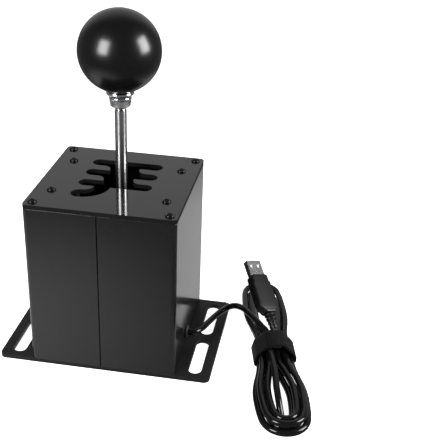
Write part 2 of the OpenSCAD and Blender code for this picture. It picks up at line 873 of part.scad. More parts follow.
module gimbal_ring() {
  color(steel) translate([0, lever_y, pivot_z]) difference() {
    union() {
      cube([2 * ring_x, 2 * ring_y, ring_h], center = true);
      for (s = [-1, 1]) {
        translate([s * (ring_x + (tab_gap + tab_t - tab_foot) / 2), 0, -ring_h / 2 - tab_drop / 2])
          cube([tab_foot + tab_gap + tab_t, 2 * tab_half, tab_drop], center = true);
        translate([s * post_x, leaf_y - lever_y, ring_h / 2 - 1])
          cylinder(h = leaf_z - pivot_z - ring_h / 2 + 1, d = post_d);
      }
    }
    cube([2 * ring_inner_x, 2 * ring_inner_y, ring_h + 1], center = true);
    bar_x(-ring_x - 1, 2 * ring_x + 2, pin_r);
    bar_y(-ring_y - 1, 2 * ring_y + 2, pin_r);
    for (s = [-1, 1])
      translate([s * post_x, leaf_y - lever_y, leaf_z - pivot_z - small_tap_l])
        cylinder(h = small_tap_l + 1, r = small_tap_r);
  }
}

module select_pins() {
  color(steel) for (s = [0, 180])
    translate([0, lever_y, pivot_z]) rotate(s) bar_x(ring_inner_x, frame_half_x - ring_inner_x, pin_r);
}

module engage_pin() {
  color(steel) translate([0, lever_y, pivot_z]) bar_y(-ring_y, 2 * ring_y, pin_r);
}

module engage_washers() {
  color(steel) for (s = [0, 180])
    translate([0, lever_y, pivot_z]) rotate(s) difference() {
      bar_y(ring_inner_y - washer_t, washer_t, flange_r);
      bar_y(hub_half_y, ring_y, pin_r + run_clear);
    }
}

// Leaf with a bent nose that drops into the notches of the sector
module detent_spring() {
  nose = detent_r + notch_rise - notch_r + 0.3;
  rise = leaf_z - pivot_z;
  half = post_x + post_d / 2;
  bend = 3;
  color(steel) difference() {
    translate([0, 0, pivot_z]) xz_plate(leaf_y - leaf_w / 2, leaf_w) polygon([
      [-half, rise], [-bend, rise], [0, nose], [bend, rise], [half, rise],
      [half, rise + leaf_t], [bend - 0.3, rise + leaf_t], [0, nose + leaf_t * 1.6],
      [0.3 - bend, rise + leaf_t], [-half, rise + leaf_t]
    ]);
    for (s = [-1, 1])
      translate([s * post_x, leaf_y, leaf_z - 1]) cylinder(h = leaf_t + 2, r = small_hole_r);
  }
}

module detent_screws() {
  color(black) for (s = [-1, 1])
    translate([s * post_x, leaf_y, leaf_z + leaf_t])
      pan_screw(small_head_d, small_head_h, small_tap_r - thread_clear, small_screw_l);
}

// Lever

module lever_hub() {
  color("#4a4d52") difference() {
    translate([-hub_half_x, lever_y - hub_half_y, hub_low])
      cube([2 * hub_half_x, 2 * hub_half_y, hub_top - hub_low]);
    translate([0, lever_y, pivot_z]) bar_y(-hub_half_y - 1, 2 * hub_half_y + 2, bush_r);
    translate([0, lever_y, rod_low]) cylinder(h = rod_seat + 1, r = rod_r + thread_clear);
    translate([0, lever_y, hub_low - 1]) cylinder(h = tail_seat + 1, d = tail_d + 2 * thread_clear);
    for (s = [-1, 1])
      translate([s * cam_screw_x, 0, cam_screw_z])
        bar_y(cam_y - small_screw_l, small_screw_l + 1, small_tap_r);
  }
}

module engage_bushes() {
  bush_l = hub_half_y - 1;
  color(brass) for (s = [0, 180])
    translate([0, lever_y, pivot_z]) rotate(s) difference() {
      union() {
        bar_y(hub_half_y - bush_l, bush_l, bush_r);
        bar_y(hub_half_y, hub_flange_t, flange_r);
      }
      bar_y(0, ring_y, bush_bore_r);
    }
}

// Sector with a notch for neutral and one for each gear side
module detent_cam() {
  color("#4a4d52") translate([0, 0, pivot_z]) xz_plate(cam_y, cam_t) difference() {
    intersection() {
      circle(r = detent_r);
      translate([-cam_half, cam_low]) square([2 * cam_half, detent_r]);
    }
    for (a = [-engage_deg, 0, engage_deg])
      rotate(a) translate([0, detent_r + notch_rise]) circle(r = notch_r);
    for (s = [-1, 1])
      translate([s * cam_screw_x, cam_screw_z - pivot_z]) circle(r = small_hole_r);
  }
}

module cam_screws() {
  color(black) for (s = [-1, 1])
    translate([s * cam_screw_x, cam_y + cam_t, cam_screw_z]) rotate([-90, 0, 0])
      pan_screw(small_head_d, small_head_h, small_tap_r - thread_clear, small_screw_l);
}

module lever_rod() {
  thread_l = flat_z + insert_h - 3 - thread_z;
  color(steel) translate([0, lever_y, 0]) {
    translate([0, 0, rod_low]) cylinder(h = thread_z - rod_low, r = rod_r);
    translate([0, 0, thread_z]) cylinder(h = thread_l, r = thread_r);
  }
}

module rod_lock_nut() {
  color(steel) translate([0, lever_y, hub_top]) difference() {
    cylinder(h = hub_nut_h, d = hub_nut_af / cos(30), $fn = 6);
    translate([0, 0, -1]) cylinder(h = hub_nut_h + 2, r = rod_r + thread_clear);
  }
}

module sensor_tail() {
  color(steel) translate([0, lever_y, tail_low]) cylinder(h = hub_low + tail_seat - tail_low, d = tail_d);
}

module magnet_holder() {
  color("#d8d4c4") translate([0, lever_y, holder_low]) difference() {
    cylinder(h = holder_h, d = holder_d);
    translate([0, 0, -1]) cylinder(h = magnet_h + 1, d = magnet_d);
    translate([0, 0, tail_low - holder_low]) cylinder(h = holder_h, d = tail_d);
  }
}

module magnet() {
  color(steel) translate([0, lever_y, holder_low]) cylinder(h = magnet_h, d = magnet_d);
}

// Round nut with a straight knurl between two chamfers
module knob_lock_nut() {
  bevel = 0.6;
  root_r = knob_nut_d / 2 - 0.35;
  rim_r = root_r - 0.15;
  tooth = 360 / knurl_count;
  color(steel) translate([0, lever_y, nut_z]) difference() {
    union() {
      cylinder(h = bevel, r1 = rim_r - bevel, r2 = rim_r);
      translate([0, 0, bevel]) linear_extrude(knob_nut_h - 2 * bevel) polygon([
        for (k = [0:knurl_count - 1], side = [0, 1])
          (side == 0 ? knob_nut_d / 2 : root_r) * [cos((k + side / 2) * tooth), sin((k + side / 2) * tooth)]
      ]);
      translate([0, 0, knob_nut_h - bevel]) cylinder(h = bevel, r1 = rim_r, r2 = rim_r - bevel);
    }
    translate([0, 0, -1]) cylinder(h = knob_nut_h + 2, r = thread_r + thread_clear);
  }
}

// Flared ferrule under the ball
module knob_collar() {
  foot_r = collar_foot_d / 2;
  rim_r = knob_flat_d / 2 + 0.2;
  rim_h = collar_h * 0.5;
  color(steel) translate([0, lever_y, collar_z]) rotate_extrude() polygon([
    [thread_r + thread_clear, 0], [foot_r - 0.4, 0], [foot_r, 0.4], [rim_r, collar_h - rim_h],
    [rim_r, collar_h - 0.4], [rim_r - 0.4, collar_h], [thread_r + thread_clear, collar_h]
  ]);
}

module knob_insert() {
  color(brass) translate([0, lever_y, flat_z]) difference() {
    cylinder(h = insert_h, d = insert_d);
    translate([0, 0, -1]) cylinder(h = insert_h + 2, r = thread_r + thread_clear);
  }
}

module knob() {
  color(black) translate([0, lever_y, knob_z]) difference() {
    sphere(d = knob_d);
    translate([0, 0, flat_z - knob_z - knob_d]) cylinder(h = knob_d, r = knob_d);
    translate([0, 0, flat_z - knob_z - 1]) cylinder(h = insert_h + 1, d = insert_d);
  }
}

base_plate();
left_body_half();
right_body_half();
gate_plate();
gate_corner_screws();
base_screws();
carrier_screws();
standoffs();
pivot_frame();
frame_screws();
select_bushes();
centring_springs();
circuit_board();
board_spacers();
board_screws();
gear_sensors();
controller_chip();
cable_header();
inner_lead();
cable_grommet();
usb_lead();
cable_hank();
cable_tie();
plug_boot();
plug_overmould();
plug_shell();
plug_tongue();
plug_contacts();
gimbal_ring();
select_pins();
engage_pin();
engage_washers();
detent_spring();
detent_screws();
lever_hub();
engage_bushes();
detent_cam();
cam_screws();
lever_rod();
rod_lock_nut();
sensor_tail();
magnet_holder();
magnet();
knob_lock_nut();
knob_collar();
knob_insert();
knob();
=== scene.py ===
import math

import bmesh
import bpy
from mathutils import Euler, Matrix, Vector


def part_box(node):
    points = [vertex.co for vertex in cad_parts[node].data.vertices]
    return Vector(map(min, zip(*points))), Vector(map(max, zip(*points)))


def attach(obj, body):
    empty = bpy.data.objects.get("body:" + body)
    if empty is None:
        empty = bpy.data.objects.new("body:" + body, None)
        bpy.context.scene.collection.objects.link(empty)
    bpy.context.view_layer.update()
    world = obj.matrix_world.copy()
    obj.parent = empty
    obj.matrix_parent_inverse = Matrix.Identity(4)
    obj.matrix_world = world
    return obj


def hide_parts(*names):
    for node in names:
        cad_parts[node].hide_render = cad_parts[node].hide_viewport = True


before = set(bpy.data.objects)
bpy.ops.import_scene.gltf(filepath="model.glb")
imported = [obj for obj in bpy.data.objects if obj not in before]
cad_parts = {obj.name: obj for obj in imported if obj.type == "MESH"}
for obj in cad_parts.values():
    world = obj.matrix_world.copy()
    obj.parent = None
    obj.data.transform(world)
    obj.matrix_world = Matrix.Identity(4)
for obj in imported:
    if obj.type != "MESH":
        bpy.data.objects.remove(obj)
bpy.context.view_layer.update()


# Base plate
# Steel plate 3 mm thick that the box stands on, with two long clamp slots in each ear.
# It is cut, its edges are broken, and it is painted black in one go with the box.
base_rim = 0.0004
paint_dark = (0.0022, 0.0022, 0.0024, 1)
paint_light = (0.0050, 0.0050, 0.0054, 1)
base_light = (0.008, 0.008, 0.0086, 1)
# Lighter grey that is painted along the outer edges as a painted highlight.
edge_highlight_colour = (0.10, 0.10, 0.105, 1)
edge_highlight_width = 0.0007
weld_gap = 0.000002


def add_node(tree, kind, inputs=None, **settings):
    """Adds a node to a tree; each input is linked to a socket or set to a value."""
    node = tree.nodes.new(kind)
    for name, value in settings.items():
        setattr(node, name, value)
    for key, value in (inputs or {}).items():
        if isinstance(value, bpy.types.NodeSocket):
            tree.links.new(value, node.inputs[key])
        else:
            node.inputs[key].default_value = value
    return node


def add_math(tree, operation, first, second, third=0.0):
    """The result of a sum on two or three values."""
    return add_node(tree, "ShaderNodeMath", {0: first, 1: second, 2: third}, operation=operation).outputs[0]


def add_blend(tree, share, first, second):
    """The colour between two colours."""
    return add_node(tree, "ShaderNodeMix", {0: share, 6: first, 7: second}, data_type="RGBA").outputs[2]


def new_group(name, kind, inputs, outputs):
    """A node group with named sockets, and its two end nodes."""
    group = bpy.data.node_groups.new(name, kind)
    for socket, form in inputs.items():
        group.interface.new_socket(socket, in_out="INPUT", socket_type="NodeSocket" + form)
    for socket, form in outputs.items():
        group.interface.new_socket(socket, in_out="OUTPUT", socket_type="NodeSocket" + form)
    return group, group.nodes.new("NodeGroupInput"), group.nodes.new("NodeGroupOutput")


def make_worked_surface():
    """Fine grain over broad patches: the small unevenness of a painted, moulded or machined face."""
    group, given, result = new_group(
        "worked_surface",
        "ShaderNodeTree",
        {
            "Dark": "Color", "Light": "Color", "Stretch": "Vector", "Grain": "Float",
            "Patch": "Float", "Roughness": "Float", "Spread": "Float",
        },
        {"Color": "Color", "Roughness": "Float", "Height": "Float"},
    )
    place = add_node(group, "ShaderNodeTexCoord").outputs["Object"]
    drawn = add_node(
        group, "ShaderNodeVectorMath", {0: place, 1: given.outputs["Stretch"]}, operation="MULTIPLY"
    ).outputs[0]
    grain = add_node(
        group,
        "ShaderNodeTexNoise",
        {"Vector": drawn, "Scale": given.outputs["Grain"], "Detail": 4.0, "Roughness": 0.65},
    ).outputs["Fac"]
    patch = add_node(
        group,
        "ShaderNodeTexNoise",
        {"Vector": place, "Scale": given.outputs["Patch"], "Detail": 3.0, "Roughness": 0.55},
    ).outputs["Fac"]
    both = add_math(group, "MULTIPLY", add_math(group, "ADD", grain, patch), 0.5)
    uneven = add_math(group, "MULTIPLY", add_math(group, "SUBTRACT", both, 0.5), 2.0)
    colour = add_blend(group, both, given.outputs["Dark"], given.outputs["Light"])
    rough = add_math(group, "MULTIPLY_ADD", uneven, given.outputs["Spread"], given.outputs["Roughness"])
    group.links.new(colour, result.inputs["Color"])
    group.links.new(rough, result.inputs["Roughness"])
    group.links.new(grain, result.inputs["Height"])
    return group


def make_painted_edge_highlight():
    """Mask of the outer edges for a painted highlight, broken up by noise."""
    group, given, result = new_group(
        "painted_edge_highlight", "ShaderNodeTree", {"Width": "Float", "Amount": "Float"}, {"Mask": "Float"}
    )
    soft = add_node(group, "ShaderNodeBevel", {"Radius": given.outputs["Width"]}, samples=4).outputs[0]
    sharp = add_node(group, "ShaderNodeNewGeometry").outputs["Normal"]
    alike = add_node(group, "ShaderNodeVectorMath", {0: soft, 1: sharp}, operation="DOT_PRODUCT").outputs["Value"]
    edge = add_node(
        group, "ShaderNodeMapRange", {"Value": alike, "From Min": 0.995, "From Max": 0.86}
    ).outputs["Result"]
    place = add_node(group, "ShaderNodeTexCoord").outputs["Object"]
    broken = add_node(
        group, "ShaderNodeTexNoise", {"Vector": place, "Scale": 180.0, "Detail": 5.0, "Roughness": 0.7}
    ).outputs["Fac"]
    highlight_breakup = add_node(
        group, "ShaderNodeMapRange", {"Value": broken, "From Min": 0.42, "From Max": 0.68}
    ).outputs["Result"]
    mask = add_math(group, "MULTIPLY", add_math(group, "MULTIPLY", edge, highlight_breakup), given.outputs["Amount"])
    group.links.new(mask, result.inputs["Mask"])
    return group


worked_surface = make_worked_surface()
painted_edge_highlight = make_painted_edge_highlight()


def new_material(name, constants):
    """A material with one principled shader, its plain values set on the shader itself."""
    material = bpy.data.materials.new(name)
    material.use_nodes = True
    shader = material.node_tree.nodes["Principled BSDF"]
    for socket, value in constants.items():
        shader.inputs[socket].default_value = value
    return material, material.node_tree, shader


def worked_material(
    name, dark, light, grain, patch, roughness, spread, relief, constants, stretch=(1, 1, 1), edge_highlight=0.0
):
    """A worked face: grain and patches in its colour, gloss and relief, with a painted highlight along its edges if
    asked.
    """
    material, tree, shader = new_material(name, constants)
    face = add_node(tree, "ShaderNodeGroup", node_tree=worked_surface)
    for socket, value in {
        "Dark": dark, "Light": light, "Stretch": stretch, "Grain": grain,
        "Patch": patch, "Roughness": roughness, "Spread": spread,
    }.items():
        face.inputs[socket].default_value = value
    colour = face.outputs["Color"]
    if edge_highlight:
        edge = add_node(tree, "ShaderNodeGroup", node_tree=painted_edge_highlight)
        edge.inputs["Width"].default_value = edge_highlight_width
        edge.inputs["Amount"].default_value = edge_highlight
        # Lightens the outer edges by the mask: a painted highlight.
        colour = add_blend(tree, edge.outputs["Mask"], colour, edge_highlight_colour)
    bump = add_node(tree, "ShaderNodeBump", {"Height": face.outputs["Height"], "Distance": relief})
    tree.links.new(colour, shader.inputs["Base Color"])
    tree.links.new(face.outputs["Roughness"], shader.inputs["Roughness"])
    tree.links.new(bump.outputs["Normal"], shader.inputs["Normal"])
    return material


def new_piece(name, mesh, material):
    """Links a mesh into the scene as a piece of one material."""
    piece = bpy.data.objects.new(name, mesh)
    mesh.materials.clear()
    mesh.materials.append(material)
    bpy.context.scene.collection.objects.link(piece)
    return piece


def apply_modifiers(piece):
    """Turns the piece into the plain mesh that its modifiers make."""
    graph = bpy.context.evaluated_depsgraph_get()
    mesh = bpy.data.meshes.new_from_object(piece.evaluated_get(graph))
    piece.modifiers.clear()
    piece.data = mesh


def rounded_copy(node, name, rim, material):
    """A merged copy of a solid with all its sharp edges broken by a fine round."""
    solid = bmesh.new()
    solid.from_mesh(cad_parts[node].data)
    bmesh.ops.remove_doubles(solid, verts=solid.verts, dist=weld_gap)
    bmesh.ops.dissolve_limit(solid, angle_limit=math.radians(1), verts=solid.verts, edges=solid.edges)
    mesh = bpy.data.meshes.new(name)
    solid.to_mesh(mesh)
    solid.free()
    mesh.polygons.foreach_set("use_smooth", [True] * len(mesh.polygons))
    piece = new_piece(name, mesh, material)
    edge = piece.modifiers.new("rim", "BEVEL")
    edge.width = rim
    edge.segments = 3
    edge.limit_method = "ANGLE"
    edge.angle_limit = math.radians(40)
    piece.modifiers.new("flat_faces", "WEIGHTED_NORMAL")
    apply_modifiers(piece)
    return piece


base_paint = worked_material(
    "base_paint", paint_dark, base_light, 900, 30, 0.46, 0.10, 0.000012, {"Specular IOR Level": 0.16}, edge_highlight=0.2
)
slotted_base = rounded_copy("base_plate", "slotted_base", base_rim, base_paint)
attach(slotted_base, "housing")
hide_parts("base_plate")


# Base screws
# Four countersunk steel screws that come up through the base plate into the corner channels.
# They are blackened, and seen only from below.
oxide_dark = (0.004, 0.004, 0.0045, 1)
oxide_light = (0.014, 0.014, 0.015, 1)
black_oxide = worked_material(
    "black_oxide", oxide_dark, oxide_light, 2200, 160, 0.24, 0.10, 0.000006, {"Specular IOR Level": 0.7}, edge_highlight=0.5
)


def dress(material, *nodes):
    """Gives solids that keep their own shape their finish."""
    for node in nodes:
        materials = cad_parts[node].data.materials
        materials.clear()
        materials.append(material)


dress(black_oxide, "base_screws")


# Board and its fittings
# Green circuit board with six gear sensors, the controller chip and the header for the cable.
# It stands on four plastic spacers over the base plate, held by four screws.
mask_green = (0.008, 0.075, 0.032, 1)
track_green = (0.014, 0.125, 0.055, 1)
chip_dark = (0.010, 0.010, 0.011, 1)
chip_light = (0.022, 0.022, 0.024, 1)
nylon_dark = (0.60, 0.58, 0.52, 1)
nylon_light = (0.72, 0.70, 0.64, 1)


def make_board_material():
    """Solder mask over copper tracks, which show as lighter lines standing a little proud."""
    material, tree, shader = new_material("solder_mask", {"Roughness": 0.34, "Coat Weight": 0.3})
    place = add_node(tree, "ShaderNodeTexCoord").outputs["Object"]
    tracks = add_node(
        tree,
        "ShaderNodeTexBrick",
        {
            "Vector": place, "Scale": 95.0, "Mortar Size": 0.035, "Mortar Smooth": 0.2,
            "Brick Width": 0.9, "Row Height": 0.22,
        },
        offset=0.37,
        squash=1.6,
    ).outputs["Fac"]
    colour = add_blend(tree, tracks, mask_green, track_green)
    bump = add_node(tree, "ShaderNodeBump", {"Height": tracks, "Distance": 0.00004})
    tree.links.new(colour, shader.inputs["Base Color"])
    tree.links.new(bump.outputs["Normal"], shader.inputs["Normal"])
    return material


chip_black = worked_material(
    "chip_black", chip_dark, chip_light, 2600, 120, 0.55, 0.10, 0.00001, {"Specular IOR Level": 0.4}
)
nylon = worked_material("nylon", nylon_dark, nylon_light, 1500, 90, 0.48, 0.08, 0.00001, {"IOR": 1.53})
dress(make_board_material(), "circuit_board")
dress(chip_black, "gear_sensors", "controller_chip")
dress(nylon, "board_spacers", "cable_header")
dress(black_oxide, "board_screws")


# Body shells
# Two U-shaped extrusions of 3 mm aluminium that meet in a seam down the front and the back.
# They are painted smooth black before they are closed round the works.
shell_rim = 0.00035
shell_paint = worked_material(
    "shell_paint", paint_dark, paint_light, 1100, 22, 0.16, 0.06, 0.000006, {"Specular IOR Level": 0.5}, edge_highlight=0.12
)
for side in ("left", "right"):
    shell = rounded_copy(f"{side}_body_half", f"{side}_shell", shell_rim, shell_paint)
    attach(shell, "housing")
    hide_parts(f"{side}_body_half")


# Pivot frame
# Machined alloy frame that hangs from the gate plate on four hexagon standoffs.
# It carries the two bronze bushes that the selector ring swings in, and its own screws.
alloy_dark = (0.20, 0.205, 0.215, 1)
alloy_light = (0.36, 0.365, 0.38, 1)
bronze_dark = (0.42, 0.26, 0.09, 1)
bronze_light = (0.62, 0.42, 0.17, 1)
milled_alloy = worked_material(
    "milled_alloy", alloy_dark, alloy_light, 700, 60, 0.34, 0.12, 0.000012, {"Metallic": 1.0}, stretch=(1, 9, 1)
)
bronze = worked_material(
    "bronze", bronze_dark, bronze_light, 1200, 110, 0.32, 0.10, 0.000008, {"Metallic": 1.0}
)
dress(milled_alloy, "pivot_frame", "standoffs")
dress(bronze, "select_bushes")
dress(black_oxide, "frame_screws")


# Centring springs
# Pair of torsion springs of 1 mm wire that bring the lever back to the middle column.
# The wire is plain drawn steel with a little oil on it.
wire_dark = (0.30, 0.30, 0.31, 1)
wire_light = (0.55, 0.55, 0.56, 1)
drawn_steel = worked_material(
    "drawn_steel", wire_dark, wire_light, 1600, 200, 0.26, 0.10, 0.000006, {"Metallic": 1.0}
)
dress(drawn_steel, "centring_springs")


# Selector
# Alloy ring that swings across the columns on two steel pins, with the engage pin across it.
# A steel leaf on two posts presses its bent nose on the sector of the lever.
dress(milled_alloy, "gimbal_ring")
dress(drawn_steel, "select_pins", "engage_pin", "engage_washers", "detent_spring")
dress(black_oxide, "detent_screws")


# Lever hub
# Alloy block on the engage pin, with bronze bushes, the notched sector, and the sensor tail below.
# The tail ends in a plastic holder with a nickel plated magnet that passes over the sensors.
nickel_dark = (0.46, 0.45, 0.43, 1)
nickel_light = (0.66, 0.65, 0.62, 1)
nickel = worked_material(
    "nickel", nickel_dark, nickel_light, 1400, 150, 0.18, 0.08, 0.000004, {"Metallic": 1.0}
)
dress(milled_alloy, "lever_hub", "detent_cam")
dress(bronze, "engage_bushes")
dress(drawn_steel, "rod_lock_nut", "sensor_tail")
dress(nylon, "magnet_holder")
dress(nickel, "magnet")
dress(black_oxide, "cam_screws")


# Gate plate
# Plate 3 mm thick with the neutral channel, six slots and the curved reverse gate cut through it.
# It has the same black paint, but polished, so that it mirrors the lever.
gate_rim = 0.0003
cut_lean = 0.97
gate_paint = worked_material(
    "gate_paint", paint_dark, paint_light, 1300, 20, 0.085, 0.03, 0.000002, {"Specular IOR Level": 0.5}
)
cut_paint = worked_material(
    "cut_paint", paint_dark, paint_light, 1500, 60, 0.55, 0.10, 0.00001, {"Specular IOR Level": 0.06}
)
gate = rounded_copy("gate_plate", "gate", gate_rim, gate_paint)
gate.data.materials.append(cut_paint)
for face in gate.data.polygons:
    face.material_index = 1 if face.normal.z < cut_lean else 0
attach(gate, "housing")
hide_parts("gate_plate")


# Gate screws
# Eight blackened pan head screws with a cross recess: four at the corners hold the gate plate to
# the shells, four further in hold the standoffs of the pivot frame.
screw_head_r = 0.0029
screw_head_h = 0.0019
screw_shank_r = 0.0014
recess_half = 0.0016
recess_arm = 0.0004
recess_floor = 0.0009
head_side = 0.0008
head_foot = 0.0003
screw_dark = (0.0012, 0.0012, 0.0014, 1)
screw_light = (0.0034, 0.0034, 0.0038, 1)
screw_black = worked_material(
    "screw_black", screw_dark, screw_light, 2200, 160, 0.26, 0.10, 0.000006, {"Specular IOR Level": 0.28}
)


def make_parts_on_points():
    """Copies a part to every point of a mesh."""
    tree, given, result = new_group(
        "parts_on_points",
        "GeometryNodeTree",
        {"Points": "Geometry", "Part": "Object", "Part Scale": "Vector", "Finish": "Material"},
        {"Geometry": "Geometry"},
    )
    part = add_node(tree, "GeometryNodeObjectInfo", {"Object": given.outputs["Part"]})
    copies = add_node(
        tree,
        "GeometryNodeInstanceOnPoints",
        {
            "Points": given.outputs["Points"],
            "Instance": part.outputs["Geometry"],
            "Scale": given.outputs["Part Scale"],
        },
    )
    solid = add_node(tree, "GeometryNodeRealizeInstances", {"Geometry": copies.outputs["Instances"]})
    finished = add_node(
        tree,
        "GeometryNodeSetMaterial",
        {"Geometry": solid.outputs["Geometry"], "Material": given.outputs["Finish"]},
    )
    tree.links.new(finished.outputs["Geometry"], result.inputs["Geometry"])
    return tree


def run_tree(piece, tree, values):
    """Runs a geometry tree on a piece with its named inputs, and keeps the plain mesh."""
    modifier = piece.modifiers.new(tree.name, "NODES")
    modifier.node_group = tree
    for socket in tree.interface.items_tree:
        if socket.in_out == "INPUT" and socket.name in values:
            modifier[socket.identifier] = values[socket.name]
    apply_modifiers(piece)


def smooth_by_angle(mesh, degrees):
    """Smooth faces that break at edges sharper than the angle."""
    mesh.polygons.foreach_set("use_smooth", [True] * len(mesh.polygons))
    mesh.set_sharp_from_angle(angle=math.radians(degrees))


def lathe(profile, sides, closed=False):
    """Turns (radius, height) points round the z axis; a closed profile makes a ring with a bore."""
    turned = bmesh.new()
    rings = []
    for radius, height in profile:
        count = sides if radius > 0 else 1
        angles = [2 * math.pi * k / sides for k in range(count)]
        rings.append([turned.verts.new((radius * math.cos(a), radius * math.sin(a), height)) for a in angles])
    for low, high in zip(rings, rings[1:] + (rings[:1] if closed else [])):
        for k in range(sides):
            after = (k + 1) % sides
            corners = [
                low[k % len(low)], low[after % len(low)], high[after % len(high)], high[k % len(high)]
            ]
            turned.faces.new(list(dict.fromkeys(corners)))
    bmesh.ops.recalc_face_normals(turned, faces=turned.faces)
    return turned


def finished_mesh(name, shape, place=Matrix.Identity(4), sharp_from=35):
    """A built shape, put in its place, as a smooth mesh."""
    bmesh.ops.transform(shape, matrix=place, verts=shape.verts)
    mesh = bpy.data.meshes.new(name)
    shape.to_mesh(mesh)
    shape.free()
    smooth_by_angle(mesh, sharp_from)
    return mesh


def arc(middle, radius, start, end, steps):
    """Points of a round stretch, in degrees from the first axis."""
    turns = [math.radians(start + (end - start) * k / steps) for k in range(steps + 1)]
    return [(middle[0] + radius * math.cos(t), middle[1] + radius * math.sin(t)) for t in turns]


def make_pan_screw(length):
    """Domed head with a cross recess sunk into it, on a plain shank."""
    dome_h = screw_head_h - head_side
    profile = [(0, -length), (screw_shank_r, -length), (screw_shank_r, 0), (screw_head_r - head_foot, 0)]
    profile += [(screw_head_r, head_foot)]
    profile += [(screw_head_r * x, head_side + dome_h * z) for x, z in arc((0, 0), 1, 0, 90, 10)]
    profile[-1] = (0, screw_head_h)
    head = bpy.data.objects.new("head", finished_mesh("head", lathe(profile, 48)))
    arms = bmesh.new()
    for turn in (45, 135):
        size = Matrix.Diagonal((2 * recess_half, 2 * recess_arm, 2 * screw_head_h, 1))
        place = Matrix.Translation((0, 0, recess_floor + screw_head_h)) @ Matrix.Rotation(math.radians(turn), 4, "Z")
        bmesh.ops.create_cube(arms, size=1, matrix=place @ size)
    cutter = bpy.data.objects.new("cutter", finished_mesh("cutter", arms))
    for part in (head, cutter):
        bpy.context.scene.collection.objects.link(part)
    cut = head.modifiers.new("recess", "BOOLEAN")
    cut.object = cutter
    cut.use_self = True
    apply_modifiers(head)
    bpy.data.objects.remove(cutter)
    smooth_by_angle(head.data, 35)
    return head


parts_on_points = make_parts_on_points()
for node, name in (("gate_corner_screws", "corner_screws"), ("carrier_screws", "inner_screws")):
    low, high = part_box(node)
    seat = high[2] - screw_head_h
    points = bpy.data.meshes.new(name)
    points.from_pydata(
        [
            (x, y, seat)
            for x in (low[0] + screw_head_r, high[0] - screw_head_r)
            for y in (low[1] + screw_head_r, high[1] - screw_head_r)
        ],
        [],
        [],
    )
    screws = new_piece(name, points, screw_black)
    pan_screw = make_pan_screw(seat - low[2])
    run_tree(screws, parts_on_points, {"Part": pan_screw, "Part Scale": (1, 1, 1), "Finish": screw_black})
    bpy.data.objects.remove(pan_screw)
    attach(screws, "housing")
    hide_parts(node)


# Lever rod
# Ground and polished steel bar 8 mm thick, screwed into the hub, with a rolled thread at its top.
# The thread runs on through the lock nut and the collar into the knob.
rod_r = 0.004
thread_r = 0.00385
thread_pitch = 0.001
thread_depth = 0.0006
shoulder_z = 0.16834
shoulder_chamfer = 0.0006
rod_chamfer = 0.0004
steel_dark = (0.50, 0.50, 0.51, 1)
steel_light = (0.62, 0.62, 0.63, 1)
polished_steel = worked_material(
    "polished_steel", steel_dark, steel_light, 500, 40, 0.24, 0.02, 0.0000003,
    {"Metallic": 1.0, "Anisotropic": 0.9, "Anisotropic Rotation": 0.25}, stretch=(1, 1, 14),
)


def make_screw_thread():
    """Adds a thread ridge, wound round the z axis, to the bar that it is cut on."""
    tree, given, result = new_group(
        "screw_thread",
        "GeometryNodeTree",
        {
            "Bar": "Geometry", "Turns": "Float", "Length": "Float", "Ridge Radius": "Float",
            "Ridge Depth": "Float", "Start": "Vector", "Finish": "Material",
        },
        {"Geometry": "Geometry"},
    )
    winding = add_node(
        tree,
        "GeometryNodeCurveSpiral",
        {
            "Resolution": 40, "Rotations": given.outputs["Turns"], "Height": given.outputs["Length"],
            "Start Radius": given.outputs["Ridge Radius"], "End Radius": given.outputs["Ridge Radius"],
        },
    )
    upright = add_node(tree, "GeometryNodeSetCurveNormal", {"Curve": winding.outputs[0]}, mode="Z_UP")
    profile = add_node(
        tree, "GeometryNodeCurvePrimitiveCircle", {"Resolution": 4, "Radius": given.outputs["Ridge Depth"]}
    )
    ridge = add_node(
        tree,
        "GeometryNodeCurveToMesh",
        {"Curve": upright.outputs[0], "Profile Curve": profile.outputs["Curve"], "Fill Caps": True},
    )
    placed = add_node(
        tree, "GeometryNodeTransform", {"Geometry": ridge.outputs[0], "Translation": given.outputs["Start"]}
    )
    joined = add_node(tree, "GeometryNodeJoinGeometry")
    tree.links.new(placed.outputs[0], joined.inputs[0])
    tree.links.new(given.outputs["Bar"], joined.inputs[0])
    solid = add_node(tree, "GeometryNodeRealizeInstances", {"Geometry": joined.outputs[0]})
    finished = add_node(
        tree,
        "GeometryNodeSetMaterial",
        {"Geometry": solid.outputs["Geometry"], "Material": given.outputs["Finish"]},
    )
    tree.links.new(finished.outputs["Geometry"], result.inputs["Geometry"])
    return tree


low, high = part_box("lever_rod")
lever_axis = Matrix.Translation(((low[0] + high[0]) / 2, (low[1] + high[1]) / 2, 0))
core_r = thread_r - thread_depth
thread_l = high[2] - shoulder_z
rod_profile = [
    (0, low[2]), (rod_r - rod_chamfer, low[2]), (rod_r, low[2] + rod_chamfer),
    (rod_r, shoulder_z - shoulder_chamfer), (rod_r - shoulder_chamfer, shoulder_z), (core_r, shoulder_z),
    (core_r, high[2] - rod_chamfer), (core_r - rod_chamfer, high[2]), (0, high[2]),
]
rod = new_piece("rod", finished_mesh("rod", lathe(rod_profile, 64), lever_axis), polished_steel)
run_tree(
    rod,
    make_screw_thread(),
    {
        "Turns": thread_l / thread_pitch - 1.0,
        "Length": thread_l - thread_pitch,
        "Ridge Radius": core_r,
        "Ridge Depth": thread_depth,
        "Start": lever_axis.translation + Vector((0, 0, shoulder_z + thread_pitch / 2)),
        "Finish": polished_steel,
    },
)
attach(rod, "lever")
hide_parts("lever_rod")


# Knob lock nut
# Round steel nut with a straight knurl that locks the collar and the knob on the thread.
# It is turned from bar, knurled and chamfered at both faces.
nut_chamfer = 0.0006
nut_root_r = 0.0067
nut_teeth = 40
tooth_depth = 0.0005
tooth_share = 0.7
thread_gap = 0.0001
turned_dark = (0.30, 0.30, 0.305, 1)
turned_light = (0.52, 0.52, 0.525, 1)
turned_steel = worked_material(
    "turned_steel", turned_dark, turned_light, 900, 120, 0.38, 0.10, 0.000005, {"Metallic": 1.0}, stretch=(1, 1, 6)
)


